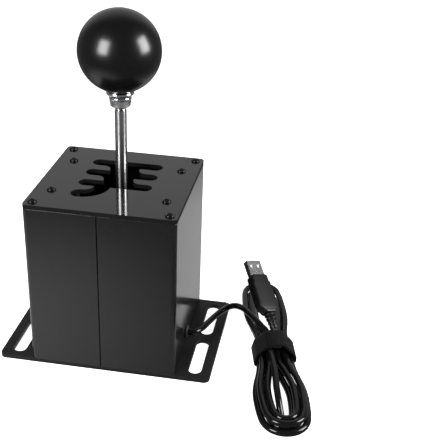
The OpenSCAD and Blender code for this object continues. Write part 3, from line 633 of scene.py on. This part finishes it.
def make_knurl():
    """Adds a ring of straight teeth to the nut that they are rolled on."""
    tree, given, result = new_group(
        "knurl",
        "GeometryNodeTree",
        {
            "Nut": "Geometry", "Teeth": "Int", "Root Radius": "Float", "Tooth Size": "Vector",
            "Middle": "Vector", "Finish": "Material",
        },
        {"Geometry": "Geometry"},
    )
    ring = add_node(
        tree,
        "GeometryNodeMeshCircle",
        {"Vertices": given.outputs["Teeth"], "Radius": given.outputs["Root Radius"]},
    )
    tooth = add_node(
        tree, "GeometryNodeMeshCone",
        {"Vertices": 4, "Radius Top": 1.0, "Radius Bottom": 1.0, "Depth": 1.0},
    )
    outwards = add_node(tree, "GeometryNodeInputPosition")
    turn = add_node(
        tree, "FunctionNodeAlignRotationToVector", {"Vector": outwards.outputs[0]}, axis="X", pivot_axis="Z"
    )
    teeth = add_node(
        tree,
        "GeometryNodeInstanceOnPoints",
        {
            "Points": ring.outputs["Mesh"],
            "Instance": tooth.outputs["Mesh"],
            "Rotation": turn.outputs["Rotation"],
            "Scale": given.outputs["Tooth Size"],
        },
    )
    placed = add_node(
        tree, "GeometryNodeTransform", {"Geometry": teeth.outputs[0], "Translation": given.outputs["Middle"]}
    )
    joined = add_node(tree, "GeometryNodeJoinGeometry")
    tree.links.new(placed.outputs[0], joined.inputs[0])
    tree.links.new(given.outputs["Nut"], joined.inputs[0])
    solid = add_node(tree, "GeometryNodeRealizeInstances", {"Geometry": joined.outputs[0]})
    finished = add_node(
        tree,
        "GeometryNodeSetMaterial",
        {"Geometry": solid.outputs["Geometry"], "Material": given.outputs["Finish"]},
    )
    tree.links.new(finished.outputs["Geometry"], result.inputs["Geometry"])
    return tree


low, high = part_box("knob_lock_nut")
nut_bore = thread_r + thread_gap
nut_profile = [
    (nut_bore, low[2]), (nut_root_r - nut_chamfer, low[2]), (nut_root_r, low[2] + nut_chamfer),
    (nut_root_r, high[2] - nut_chamfer), (nut_root_r - nut_chamfer, high[2]), (nut_bore, high[2]),
]
lock_nut = new_piece(
    "lock_nut", finished_mesh("lock_nut", lathe(nut_profile, 80, closed=True), lever_axis), turned_steel
)
run_tree(
    lock_nut,
    make_knurl(),
    {
        "Teeth": nut_teeth,
        "Root Radius": nut_root_r,
        "Tooth Size": (tooth_depth, tooth_depth * tooth_share, high[2] - low[2] - 2 * nut_chamfer),
        "Middle": lever_axis.translation + Vector((0, 0, (low[2] + high[2]) / 2)),
        "Finish": turned_steel,
    },
)
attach(lock_nut, "lever")
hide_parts("knob_lock_nut")


# Knob collar
# Flared ferrule between the lock nut and the ball, turned from brass and chrome plated.
# Its foot stands on the nut and a wide round bead carries the flat of the ball.
collar_foot_r = 0.0074
collar_rim_r = 0.0092
foot_chamfer = 0.0003
foot_edge = 0.0007
foot_h = 0.0014
groove_depth = 0.0012
groove_z = 0.0024
bead_r = 0.0017
bead_drop = 0.0019
chrome_dark = (0.66, 0.665, 0.68, 1)
chrome_light = (0.76, 0.765, 0.78, 1)
chrome = worked_material(
    "chrome", chrome_dark, chrome_light, 900, 90, 0.06, 0.025, 0.000001, {"Metallic": 1.0}, stretch=(1, 1, 5)
)
low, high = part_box("knob_collar")
collar_profile = [(nut_bore, low[2]), (collar_foot_r - foot_chamfer, low[2])]
collar_profile += [(collar_foot_r, low[2] + foot_chamfer)]
collar_profile += arc((collar_foot_r - foot_edge, low[2] + foot_h), foot_edge, 0, 90, 6)
collar_profile += [(collar_foot_r - groove_depth, low[2] + groove_z)]
collar_profile += arc((collar_rim_r - bead_r, high[2] - bead_drop), bead_r, -90, 60, 18)
collar_profile += [(collar_rim_r - bead_r, high[2]), (nut_bore, high[2])]
collar = new_piece(
    "collar", finished_mesh("collar", lathe(collar_profile, 96, closed=True), lever_axis, 50), chrome
)
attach(collar, "lever")
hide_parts("knob_collar")


# Knob
# Ball of 54 mm in black thermoset, moulded round a threaded brass insert and polished.
# Its underside is faced flat for the collar.
knob_edge = 0.0006
ball_dark = (0.0012, 0.0012, 0.0014, 1)
ball_light = (0.0022, 0.0022, 0.0024, 1)
low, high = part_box("knob")
ball_r = (high[0] - low[0]) / 2
ball_z = high[2] - ball_r
flat_r = math.sqrt(ball_r ** 2 - (ball_z - low[2]) ** 2)
flat_lean = math.degrees(math.acos(flat_r / ball_r))
ball_gloss = worked_material(
    "ball_gloss", ball_dark, ball_light, 240, 26, 0.24, 0.03, 0.000001, {"Specular IOR Level": 0.34},
)
ball_profile = [(0, low[2]), (flat_r - knob_edge, low[2])]
ball_profile += arc((0, ball_z), ball_r, -flat_lean + 0.8, 90, 64)
ball_profile[-1] = (0, high[2])
ball = new_piece("ball", finished_mesh("ball", lathe(ball_profile, 128), lever_axis), ball_gloss)
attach(ball, "lever")
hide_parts("knob")
dress(bronze, "knob_insert")


# Cable outlet
# Rubber grommet pressed into a hole low in the right side, with a lip on each face of the wall.
# The cable goes through it to the header on the board.
rubber_dark = (0.006, 0.006, 0.006, 1)
rubber_light = (0.016, 0.016, 0.016, 1)
rubber = worked_material(
    "rubber", rubber_dark, rubber_light, 1400, 90, 0.52, 0.10, 0.00001, {"Specular IOR Level": 0.4}
)
cable_d = 0.0044
cable_r = cable_d / 2
low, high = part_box("cable_grommet")
lip_r = (high[1] - low[1]) / 2
lip_t = 0.0015
neck_r = 0.0033
grommet_l = high[0] - low[0]
lip_edge = 0.0005
mouth_chamfer = 0.0004
grommet_profile = [(cable_r, 0)]
grommet_profile += arc((lip_r - lip_edge, lip_edge), lip_edge, -90, 0, 4)
grommet_profile += arc((lip_r - lip_edge, lip_t - lip_edge), lip_edge, 0, 90, 4)
grommet_profile += [(neck_r, lip_t), (neck_r, grommet_l - lip_t)]
grommet_profile += arc((lip_r - lip_edge, grommet_l - lip_t + lip_edge), lip_edge, -90, 0, 4)
grommet_profile += arc((lip_r - lip_edge, grommet_l - lip_edge), lip_edge, 0, 90, 4)
grommet_profile += [(cable_r + mouth_chamfer, grommet_l), (cable_r, grommet_l - mouth_chamfer)]
grommet_place = Matrix.Translation((low[0], (low[1] + high[1]) / 2, (low[2] + high[2]) / 2))
grommet_place = grommet_place @ Matrix.Rotation(math.radians(90), 4, "Y")
grommet = new_piece(
    "grommet", finished_mesh("grommet", lathe(grommet_profile, 48, closed=True), grommet_place), rubber
)
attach(grommet, "housing")
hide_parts("cable_grommet")


# Plug
# Moulded cable plug at the end of the lead: a ribbed boot, a grip that narrows to both its ends,
# and the folded steel shell round a white tongue with four contacts. It leans up from the tie.
plug_at = Vector((0.1120, 0.0012, 0.0162))
plug_turn = Euler([math.radians(a) for a in (16, -32, 120)])
plug_place = Matrix.Translation(plug_at) @ plug_turn.to_matrix().to_4x4()
boot_l = 0.012
boot_wall = 0.0006
boot_core_r = cable_r + boot_wall
boot_last_r = 0.004
boot_ribs = 4
rib_share = 0.62
rib_round = 0.0004
grip_l = 0.031
grip_half_w = 0.008
grip_half_h = 0.004
grip_edge = 0.0014
grip_side_round = 0.0022
grip_top_round = 0.0012
grip_neck = 0.0008
grip_neck_l = 0.0007
grip_wide_from = 0.0028
grip_wide_to = 0.0251
grip_taper = 0.0022
grip_taper_l = 0.0075
mould_dark = (0.0014, 0.0014, 0.0016, 1)
mould_light = (0.0040, 0.0040, 0.0044, 1)
moulded_black = worked_material(
    "moulded_black", mould_dark, mould_light, 2600, 120, 0.36, 0.10, 0.000012, {"Specular IOR Level": 0.22}
)


def make_boot_ribs():
    """Adds a row of ribs, each a little wider than the last, to the core of the boot."""
    tree, given, result = new_group(
        "boot_ribs",
        "GeometryNodeTree",
        {
            "Core": "Geometry", "Ribs": "Int", "Pitch": "Float", "Rib Length": "Float",
            "First Radius": "Float", "Radius Step": "Float", "Finish": "Material",
        },
        {"Geometry": "Geometry"},
    )
    step = add_node(tree, "ShaderNodeCombineXYZ", {"Z": given.outputs["Pitch"]})
    half_rib = add_math(tree, "MULTIPLY", given.outputs["Rib Length"], 0.5)
    first = add_math(tree, "SUBTRACT", given.outputs["Pitch"], half_rib)
    start = add_node(tree, "ShaderNodeCombineXYZ", {"Z": first})
    row = add_node(
        tree,
        "GeometryNodeMeshLine",
        {"Count": given.outputs["Ribs"], "Start Location": start.outputs[0], "Offset": step.outputs[0]},
    )
    rib = add_node(
        tree,
        "GeometryNodeMeshCylinder",
        {"Vertices": 40, "Radius": 1.0, "Depth": given.outputs["Rib Length"]},
    )
    place = add_node(tree, "GeometryNodeInputIndex")
    radius = add_math(
        tree, "MULTIPLY_ADD", place.outputs[0], given.outputs["Radius Step"], given.outputs["First Radius"]
    )
    size = add_node(tree, "ShaderNodeCombineXYZ", {"X": radius, "Y": radius, "Z": 1.0})
    ribs = add_node(
        tree,
        "GeometryNodeInstanceOnPoints",
        {"Points": row.outputs["Mesh"], "Instance": rib.outputs["Mesh"], "Scale": size.outputs[0]},
    )
    joined = add_node(tree, "GeometryNodeJoinGeometry")
    tree.links.new(ribs.outputs[0], joined.inputs[0])
    tree.links.new(given.outputs["Core"], joined.inputs[0])
    solid = add_node(tree, "GeometryNodeRealizeInstances", {"Geometry": joined.outputs[0]})
    finished = add_node(
        tree,
        "GeometryNodeSetMaterial",
        {"Geometry": solid.outputs["Geometry"], "Material": given.outputs["Finish"]},
    )
    tree.links.new(finished.outputs["Geometry"], result.inputs["Geometry"])
    return tree


rib_pitch = boot_l / boot_ribs
rib_step = (boot_last_r - boot_core_r) / boot_ribs
boot_profile = [(0, 0), (boot_core_r, 0), (boot_core_r, boot_l), (0, boot_l)]
boot = new_piece("boot", finished_mesh("boot", lathe(boot_profile, 40)), moulded_black)
run_tree(
    boot,
    make_boot_ribs(),
    {
        "Ribs": boot_ribs,
        "Pitch": rib_pitch,
        "Rib Length": rib_pitch * rib_share,
        "First Radius": boot_core_r + rib_step,
        "Radius Step": rib_step,
        "Finish": moulded_black,
    },
)
rib_edge = boot.modifiers.new("rib_edge", "BEVEL")
rib_edge.width = rib_round
rib_edge.segments = 3
rib_edge.limit_method = "ANGLE"
apply_modifiers(boot)
boot.data.transform(plug_place @ Matrix.Rotation(math.radians(90), 4, "Y"))
smooth_by_angle(boot.data, 35)
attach(boot, "housing")
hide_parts("plug_boot")


def ease(value):
    """Smooth step from 0 to 1."""
    k = min(max(value, 0), 1)
    return k * k * (3 - 2 * k)


def round_end(along, length, radius):
    """How far a face is drawn in near a round end."""
    near = min(along, length - along, radius)
    return radius - math.sqrt(max(radius ** 2 - (radius - near) ** 2, 0))


def grip_section(along):
    """Corners of the grip's cross-section at a place along it: a rectangle with soft edges."""
    wide = ease((along - grip_wide_from) / grip_neck_l) * ease((grip_wide_to - along) / grip_neck_l)
    half_w = grip_half_w - grip_neck * (1 - wide) - round_end(along, grip_l, grip_side_round)
    half_w -= grip_taper * (1 - ease(along / grip_taper_l))
    half_h = grip_half_h - round_end(along, grip_l, grip_top_round)
    ring = []
    for start, side, top in ((0, 1, 1), (90, -1, 1), (180, -1, -1), (270, 1, -1)):
        corner = (side * (half_w - grip_edge), top * (half_h - grip_edge))
        ring += arc(corner, grip_edge, start, start + 90, 6)
    return ring


grip_shape = bmesh.new()
grip_stations = [grip_l * (0.5 - 0.5 * math.cos(math.pi * k / 28)) for k in range(29)]
for turn in (grip_wide_from, grip_wide_to):
    grip_stations += [turn + 0.00025 * k for k in range(-3, 4)]
grip_rings = []
for along in sorted(grip_stations):
    ring = [grip_shape.verts.new((boot_l + along, y, z)) for y, z in grip_section(along)]
    grip_rings.append(ring)
for back, front in zip(grip_rings, grip_rings[1:]):
    for k, corner in enumerate(back):
        grip_shape.faces.new((corner, back[k - 1], front[k - 1], front[k]))
grip_shape.faces.new(grip_rings[0])
grip_shape.faces.new(grip_rings[-1])
bmesh.ops.recalc_face_normals(grip_shape, faces=grip_shape.faces)
grip = new_piece("grip", finished_mesh("grip", grip_shape, plug_place, 50), moulded_black)
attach(grip, "housing")
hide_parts("plug_overmould")

sleeve_rim = 0.00012
shell_dark = (0.24, 0.24, 0.245, 1)
shell_light = (0.36, 0.36, 0.365, 1)
gold_dark = (0.60, 0.42, 0.13, 1)
gold_light = (0.80, 0.60, 0.24, 1)
satin_steel = worked_material(
    "satin_steel", shell_dark, shell_light, 900, 150, 0.28, 0.10, 0.000006, {"Metallic": 1.0}, stretch=(1, 1, 8)
)
gold = worked_material("gold", gold_dark, gold_light, 1500, 150, 0.22, 0.08, 0.000004, {"Metallic": 1.0})
plug_sleeve = rounded_copy("plug_shell", "plug_sleeve", sleeve_rim, satin_steel)
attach(plug_sleeve, "housing")
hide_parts("plug_shell")
dress(nylon, "plug_tongue")
dress(gold, "plug_contacts")


# Cable
# Round black lead of 4.4 mm, 1.64 m from the outlet to the plug, with a soft glossy jacket.
# It bows past the corner of the box and is folded into a hank of long loops in two layers.
lead_route = [
    (0.0515, -0.0095, 0.0125), (0.0560, -0.0089, 0.0125), (0.0600, -0.0035, 0.0123), (0.0635, 0.0065, 0.0118),
    (0.0675, 0.0175, 0.0114), (0.0718, 0.0255, 0.0114), (0.0778, 0.0305, 0.0124), (0.0842, 0.0284, 0.0134),
    (0.0910, 0.0212, 0.0138), (0.0976, 0.0128, 0.0139), (0.1034, 0.0046, 0.0139),
]
hank_place = Matrix.Translation((0.1116, -0.0078, 0)) @ Matrix.Rotation(math.radians(13), 4, "Z")
hank_half_l = 0.072
hank_end_r = 0.0044
hank_waist = -0.001275
hank_waist_y = -0.005
hank_waist_l = 0.034
hank_lift = 0.0015
hank_lift_l = 0.045
hank_pitch = 0.0051
hank_low = 0.0023
hank_high = 0.0074
hank_top = 0.0138
hank_flip = 900
hank_climb = 90
hank_cross = 25
hank_first = 27
hank_drop = 40
hank_shift_from = 60
hank_shift = 75
hank_last = 1602
hank_step = 4.5
cable_dark = (0.0018, 0.0018, 0.0020, 1)
cable_light = (0.0042, 0.0042, 0.0046, 1)


def lobe(y):
    """Share of a loop's full width at a place along it: none at the waist."""
    return 1 - math.exp(-(((y - hank_waist_y) / hank_waist_l) ** 4))


def loop_point(angle):
    """Place on the innermost loop: long, drawn in at the waist, with round ends."""
    s = math.sin(math.radians(angle))
    y = -((hank_half_l - hank_end_r) * s * (1.5 - 0.5 * s * s) + hank_end_r * s)
    half = hank_waist + (hank_end_r - hank_waist) * lobe(y)
    return Vector((-half * math.cos(math.radians(angle)), y))


def lane(angle):
    """Lane of a run, which changes by one where it passes the tie."""
    turn = round(angle / 360)
    return turn + ease((angle - 360 * turn) / (2 * hank_cross) + 0.5)


def loop_steps(angle):
    """Steps outwards: the lower layer goes out, the upper one comes in, half a lane between."""
    if angle < 180:
        return ease((angle - hank_shift_from) / hank_shift) / 2
    return lane(angle) - 0.5 if angle < hank_flip else lane(2 * hank_flip - angle - 180)


def hank_point(angle):
    """Place on the hank: the loops step outwards, climb a layer where they turn back, and step in."""
    along = (loop_point(angle + 1) - loop_point(angle - 1)).normalized()
    flat = loop_point(angle) + loop_steps(angle) * hank_pitch * Vector((along.y, -along.x))
    lift = hank_lift * math.exp(-(((flat.y - hank_waist_y) / hank_lift_l) ** 2))
    climb = ease((angle - hank_flip) / hank_climb + 0.5)
    first_run = 1 - ease((angle - hank_first) / hank_drop)
    height = hank_low + lift + (hank_high - hank_low) * climb
    return Vector((flat.x, flat.y, height + first_run * (hank_top - hank_low - hank_lift)))


lead_end = Vector(lead_route[-1])
lead_along = (lead_end - Vector(lead_route[-2])).normalized()
plug_axis = plug_place.to_3x3() @ Vector((1, 0, 0))
over_first = [(-0.0036, 0, hank_top), (-0.0030, -0.0130, hank_top)]
over_last = [(0.0017, -0.0110, 0.0094), (0.0022, -0.0010, 0.0124), (0.0036, 0.0056, 0.0138)]
waist_place = hank_place @ Matrix.Translation((0, hank_waist_y, 0))
hank_angles = [hank_first + hank_step * k for k in range(round((hank_last - hank_first) / hank_step) + 1)]
cable_route = [Vector(p) for p in lead_route] + [lead_end + lead_along * cable_d]
cable_route += [waist_place @ Vector(p) for p in over_first]
cable_route += [hank_place @ hank_point(a) for a in hank_angles]
cable_route += [waist_place @ Vector(p) for p in over_last]
cable_route += [plug_at - plug_axis * cable_d, plug_at]
cable_jacket = worked_material(
    "cable_jacket", cable_dark, cable_light, 700, 60, 0.12, 0.05, 0.000004, {"Specular IOR Level": 0.26}
)
cable_line = bpy.data.curves.new("cable", "CURVE")
cable_line.dimensions = "3D"
cable_line.bevel_depth = cable_r
cable_line.bevel_resolution = 6
cable_line.resolution_u = 4
cable_line.use_fill_caps = True
cable_line.materials.append(cable_jacket)
cable_spline = cable_line.splines.new("BEZIER")
cable_spline.bezier_points.add(len(cable_route) - 1)
for point, place in zip(cable_spline.bezier_points, cable_route):
    point.co = place
    point.handle_left_type = "AUTO"
    point.handle_right_type = "AUTO"
cable = bpy.data.objects.new("cable", cable_line)
bpy.context.scene.collection.objects.link(cable)
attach(cable, "housing")
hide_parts("usb_lead", "cable_hank")
dress(cable_jacket, "inner_lead")


# Cable tie
# Hook and loop band 18 mm wide, wrapped tight round the waist of the hank and lapped on top.
# It is woven nylon with a brushed face, cut square at its end.
tie_w = 0.018
tie_t = 0.0012
tie_clear = 0.0004
tie_steps_out = 2.5
tie_side_low = 0.38
tie_side_high = 0.68
tie_edge_angle = 9
tie_rows = 10
tie_lap = (-0.0040, 0.0043)
cloth_dark = (0.001, 0.001, 0.0012, 1)
cloth_light = (0.005, 0.005, 0.0056, 1)


def make_tie_material():
    """Woven band: ribs of yarn across and along it, with a short soft pile."""
    material, tree, shader = new_material(
        "tie_cloth", {"Roughness": 0.85, "Sheen Weight": 0.02, "Sheen Roughness": 0.45, "Specular IOR Level": 0.1}
    )
    band = add_node(tree, "ShaderNodeUVMap", uv_map="band").outputs["UV"]
    weave = add_node(
        tree, "ShaderNodeTexBrick",
        {
            "Vector": band, "Scale": 1400.0, "Mortar Size": 0.16, "Mortar Smooth": 0.8,
            "Brick Width": 1.0, "Row Height": 0.5,
        },
    ).outputs["Fac"]
    pile = add_node(
        tree, "ShaderNodeTexNoise", {"Vector": band, "Scale": 2600.0, "Detail": 5.0, "Roughness": 0.75}
    ).outputs["Fac"]
    relief = add_math(tree, "MULTIPLY_ADD", weave, -0.55, pile)
    colour = add_blend(tree, relief, cloth_dark, cloth_light)
    bump = add_node(tree, "ShaderNodeBump", {"Height": relief, "Distance": 0.00018})
    tree.links.new(colour, shader.inputs["Base Color"])
    tree.links.new(bump.outputs["Normal"], shader.inputs["Normal"])
    return material


def tie_edge_half(side):
    """Half width of the innermost loop at one edge of the band."""
    middle, ring = loop_point(0), loop_point(-tie_edge_angle * side)
    return -middle.x - (ring.x - middle.x) * (hank_waist_y + side * tie_w / 2) / ring.y


def out_angle(before, after):
    """Direction that faces out from the straight between two centres, in degrees."""
    return math.degrees(math.atan2(after[1] - before[1], after[0] - before[0])) - 90


tie_side = max(tie_edge_half(-1), tie_edge_half(1)) + tie_steps_out * hank_pitch
tie_r = cable_r + tie_clear + tie_t / 2
tie_foot = tie_r + tie_t / 2
tie_middle = hank_low + hank_lift
tie_centres = [
    (tie_lap[1], hank_top), (tie_lap[0], hank_top), (hank_pitch / 2 - tie_side, tie_middle + hank_pitch),
    (hank_pitch / 4 - tie_side, tie_foot),
    (tie_side - hank_pitch, tie_foot), (tie_side, tie_middle + tie_side_low * hank_pitch),
    (tie_side, tie_middle + tie_side_high * hank_pitch),
]
tie_line = [(tie_lap[1], hank_top + tie_r)]
for k in range(1, len(tie_centres) + 1):
    before, centre, after = (tie_centres[(k + j) % len(tie_centres)] for j in (-1, 0, 1))
    start = out_angle(before, centre)
    swing = (out_angle(centre, after) - start) % 360
    outer = tie_r + (tie_t if k == len(tie_centres) else 0)
    tie_line += arc(centre, outer, start, start + swing, 8)
tie_line += [(tie_lap[0], hank_top + tie_r + tie_t)]
tie_shape = bmesh.new()
tie_uv = tie_shape.loops.layers.uv.new("band")
tie_lengths = [0.0]
for before, after in zip(tie_line, tie_line[1:]):
    tie_lengths.append(tie_lengths[-1] + math.dist(before, after))
tie_grid = [
    [tie_shape.verts.new((x, tie_w * (row / tie_rows - 0.5), z)) for row in range(tie_rows + 1)]
    for x, z in tie_line
]
for k in range(len(tie_line) - 1):
    for row in range(tie_rows):
        corners = ((k, row), (k, row + 1), (k + 1, row + 1), (k + 1, row))
        face = tie_shape.faces.new([tie_grid[i][j] for i, j in corners])
        for loop, (i, j) in zip(face.loops, corners):
            loop[tie_uv].uv = (tie_w * j / tie_rows, tie_lengths[i])
bmesh.ops.recalc_face_normals(tie_shape, faces=tie_shape.faces)
tie = new_piece("tie", finished_mesh("tie", tie_shape, waist_place, 60), make_tie_material())
thick = tie.modifiers.new("thickness", "SOLIDIFY")
thick.thickness = tie_t
thick.offset = 0
apply_modifiers(tie)
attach(tie, "housing")
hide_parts("cable_tie")


# Studio
# White sweep of floor under two soft boxes, one at each side of the camera, and a white wall
# behind the object that fades to a dark room behind the camera.
camera_place = (0.1439236, -0.5222380, 0.3735578)
camera_turn = (62.4994, -2.0474, 9.1407)
camera_lens = 72.49
floor_half = 6.0
camera_data = bpy.data.cameras.new("camera")
camera_data.lens = camera_lens
camera_data.sensor_width = 36
camera = bpy.data.objects.new("camera", camera_data)
camera.location = camera_place
camera.rotation_euler = [math.radians(a) for a in camera_turn]
bpy.context.scene.collection.objects.link(camera)
bpy.context.scene.camera = camera

floor_mesh = bpy.data.meshes.new("floor")
floor_mesh.from_pydata(
    [(x * floor_half, y * floor_half, 0) for x, y in ((-1, -1), (1, -1), (1, 1), (-1, 1))], [], [(0, 1, 2, 3)]
)
floor_light = 0.93
room_light = 0.16
# Pools of painted light on the floor, which only reflections see.
pools = (((-0.13, -0.08), (0.19, 0.19), 1.10), ((0.09, 0.12), (0.10, 0.26), 0.66))
floor_paper = worked_material(
    "floor_paper", (0.86, 0.86, 0.86, 1), (0.90, 0.90, 0.90, 1), 60, 3, 0.75, 0.05, 0.00002,
    {"Specular IOR Level": 0.0, "Emission Color": (1, 1, 1, 1), "Emission Strength": floor_light},
)
paper = floor_paper.node_tree
seen_place = add_node(paper, "ShaderNodeTexCoord").outputs["Object"]
pool_light = room_light
for (x, y), (reach_x, reach_y), strength in pools:
    offset = add_node(
        paper, "ShaderNodeVectorMath", {0: seen_place, 1: (x, y, 0)}, operation="SUBTRACT"
    ).outputs[0]
    share = add_node(
        paper, "ShaderNodeVectorMath", {0: offset, 1: (1 / reach_x, 1 / reach_y, 0)}, operation="MULTIPLY"
    ).outputs[0]
    away = add_node(paper, "ShaderNodeVectorMath", {0: share}, operation="LENGTH").outputs["Value"]
    pool = add_node(
        paper, "ShaderNodeMapRange",
        {"Value": away, "From Min": 0.35, "From Max": 1.1, "To Min": strength, "To Max": room_light},
    ).outputs["Result"]
    pool_light = add_math(paper, "MAXIMUM", pool, pool_light)
# Glow of the painted pools, shown only to glossy rays.
mirrored = add_node(paper, "ShaderNodeEmission", {"Strength": pool_light})
path = add_node(paper, "ShaderNodeLightPath")
either = add_node(
    paper, "ShaderNodeMixShader",
    {0: path.outputs["Is Glossy Ray"], 1: paper.nodes["Principled BSDF"].outputs[0], 2: mirrored.outputs[0]},
)
paper.links.new(either.outputs[0], paper.nodes["Material Output"].inputs["Surface"])
floor = new_piece("floor", floor_mesh, floor_paper)

box_distance = 0.7
box_height = 0.41
lit_centre = Vector((0, 0.009, 0.207))
for name, direction, width, power in (
    ("left_box", (-0.480, -0.808, 0.339), 0.315, 9.9),
    ("right_box", (0.948, -0.027, 0.317), 0.33, 10.0),
):
    box_light = bpy.data.lights.new(name, "AREA")
    box_light.shape = "RECTANGLE"
    box_light.size = width
    box_light.size_y = box_height
    box_light.energy = power
    lamp = bpy.data.objects.new(name, box_light)
    aim = Vector(direction).normalized()
    lamp.location = lit_centre + aim * box_distance
    lamp.rotation_euler = aim.to_track_quat("Z", "Y").to_euler()
    bpy.context.scene.collection.objects.link(lamp)

backdrop_aim = Vector((-0.235, 0.875, 0.423)).normalized()
backdrop_light = 0.64
world = bpy.data.worlds.new("studio")
world.use_nodes = True
bpy.context.scene.world = world
sky = world.node_tree
direction = add_node(sky, "ShaderNodeTexCoord").outputs["Generated"]
towards = add_node(
    sky, "ShaderNodeVectorMath", {0: direction, 1: backdrop_aim}, operation="DOT_PRODUCT"
).outputs["Value"]
backdrop = add_node(
    sky, "ShaderNodeMapRange",
    {"Value": towards, "From Min": 0.62, "From Max": 0.93, "To Min": room_light, "To Max": backdrop_light},
    interpolation_type="SMOOTHSTEP",
)
seen = add_node(sky, "ShaderNodeLightPath").outputs["Is Camera Ray"]
room = add_blend(sky, seen, backdrop.outputs["Result"], (floor_light, floor_light, floor_light, 1))
sky.links.new(room, sky.nodes["Background"].inputs["Color"])
bpy.context.scene.view_settings.view_transform = "Standard"
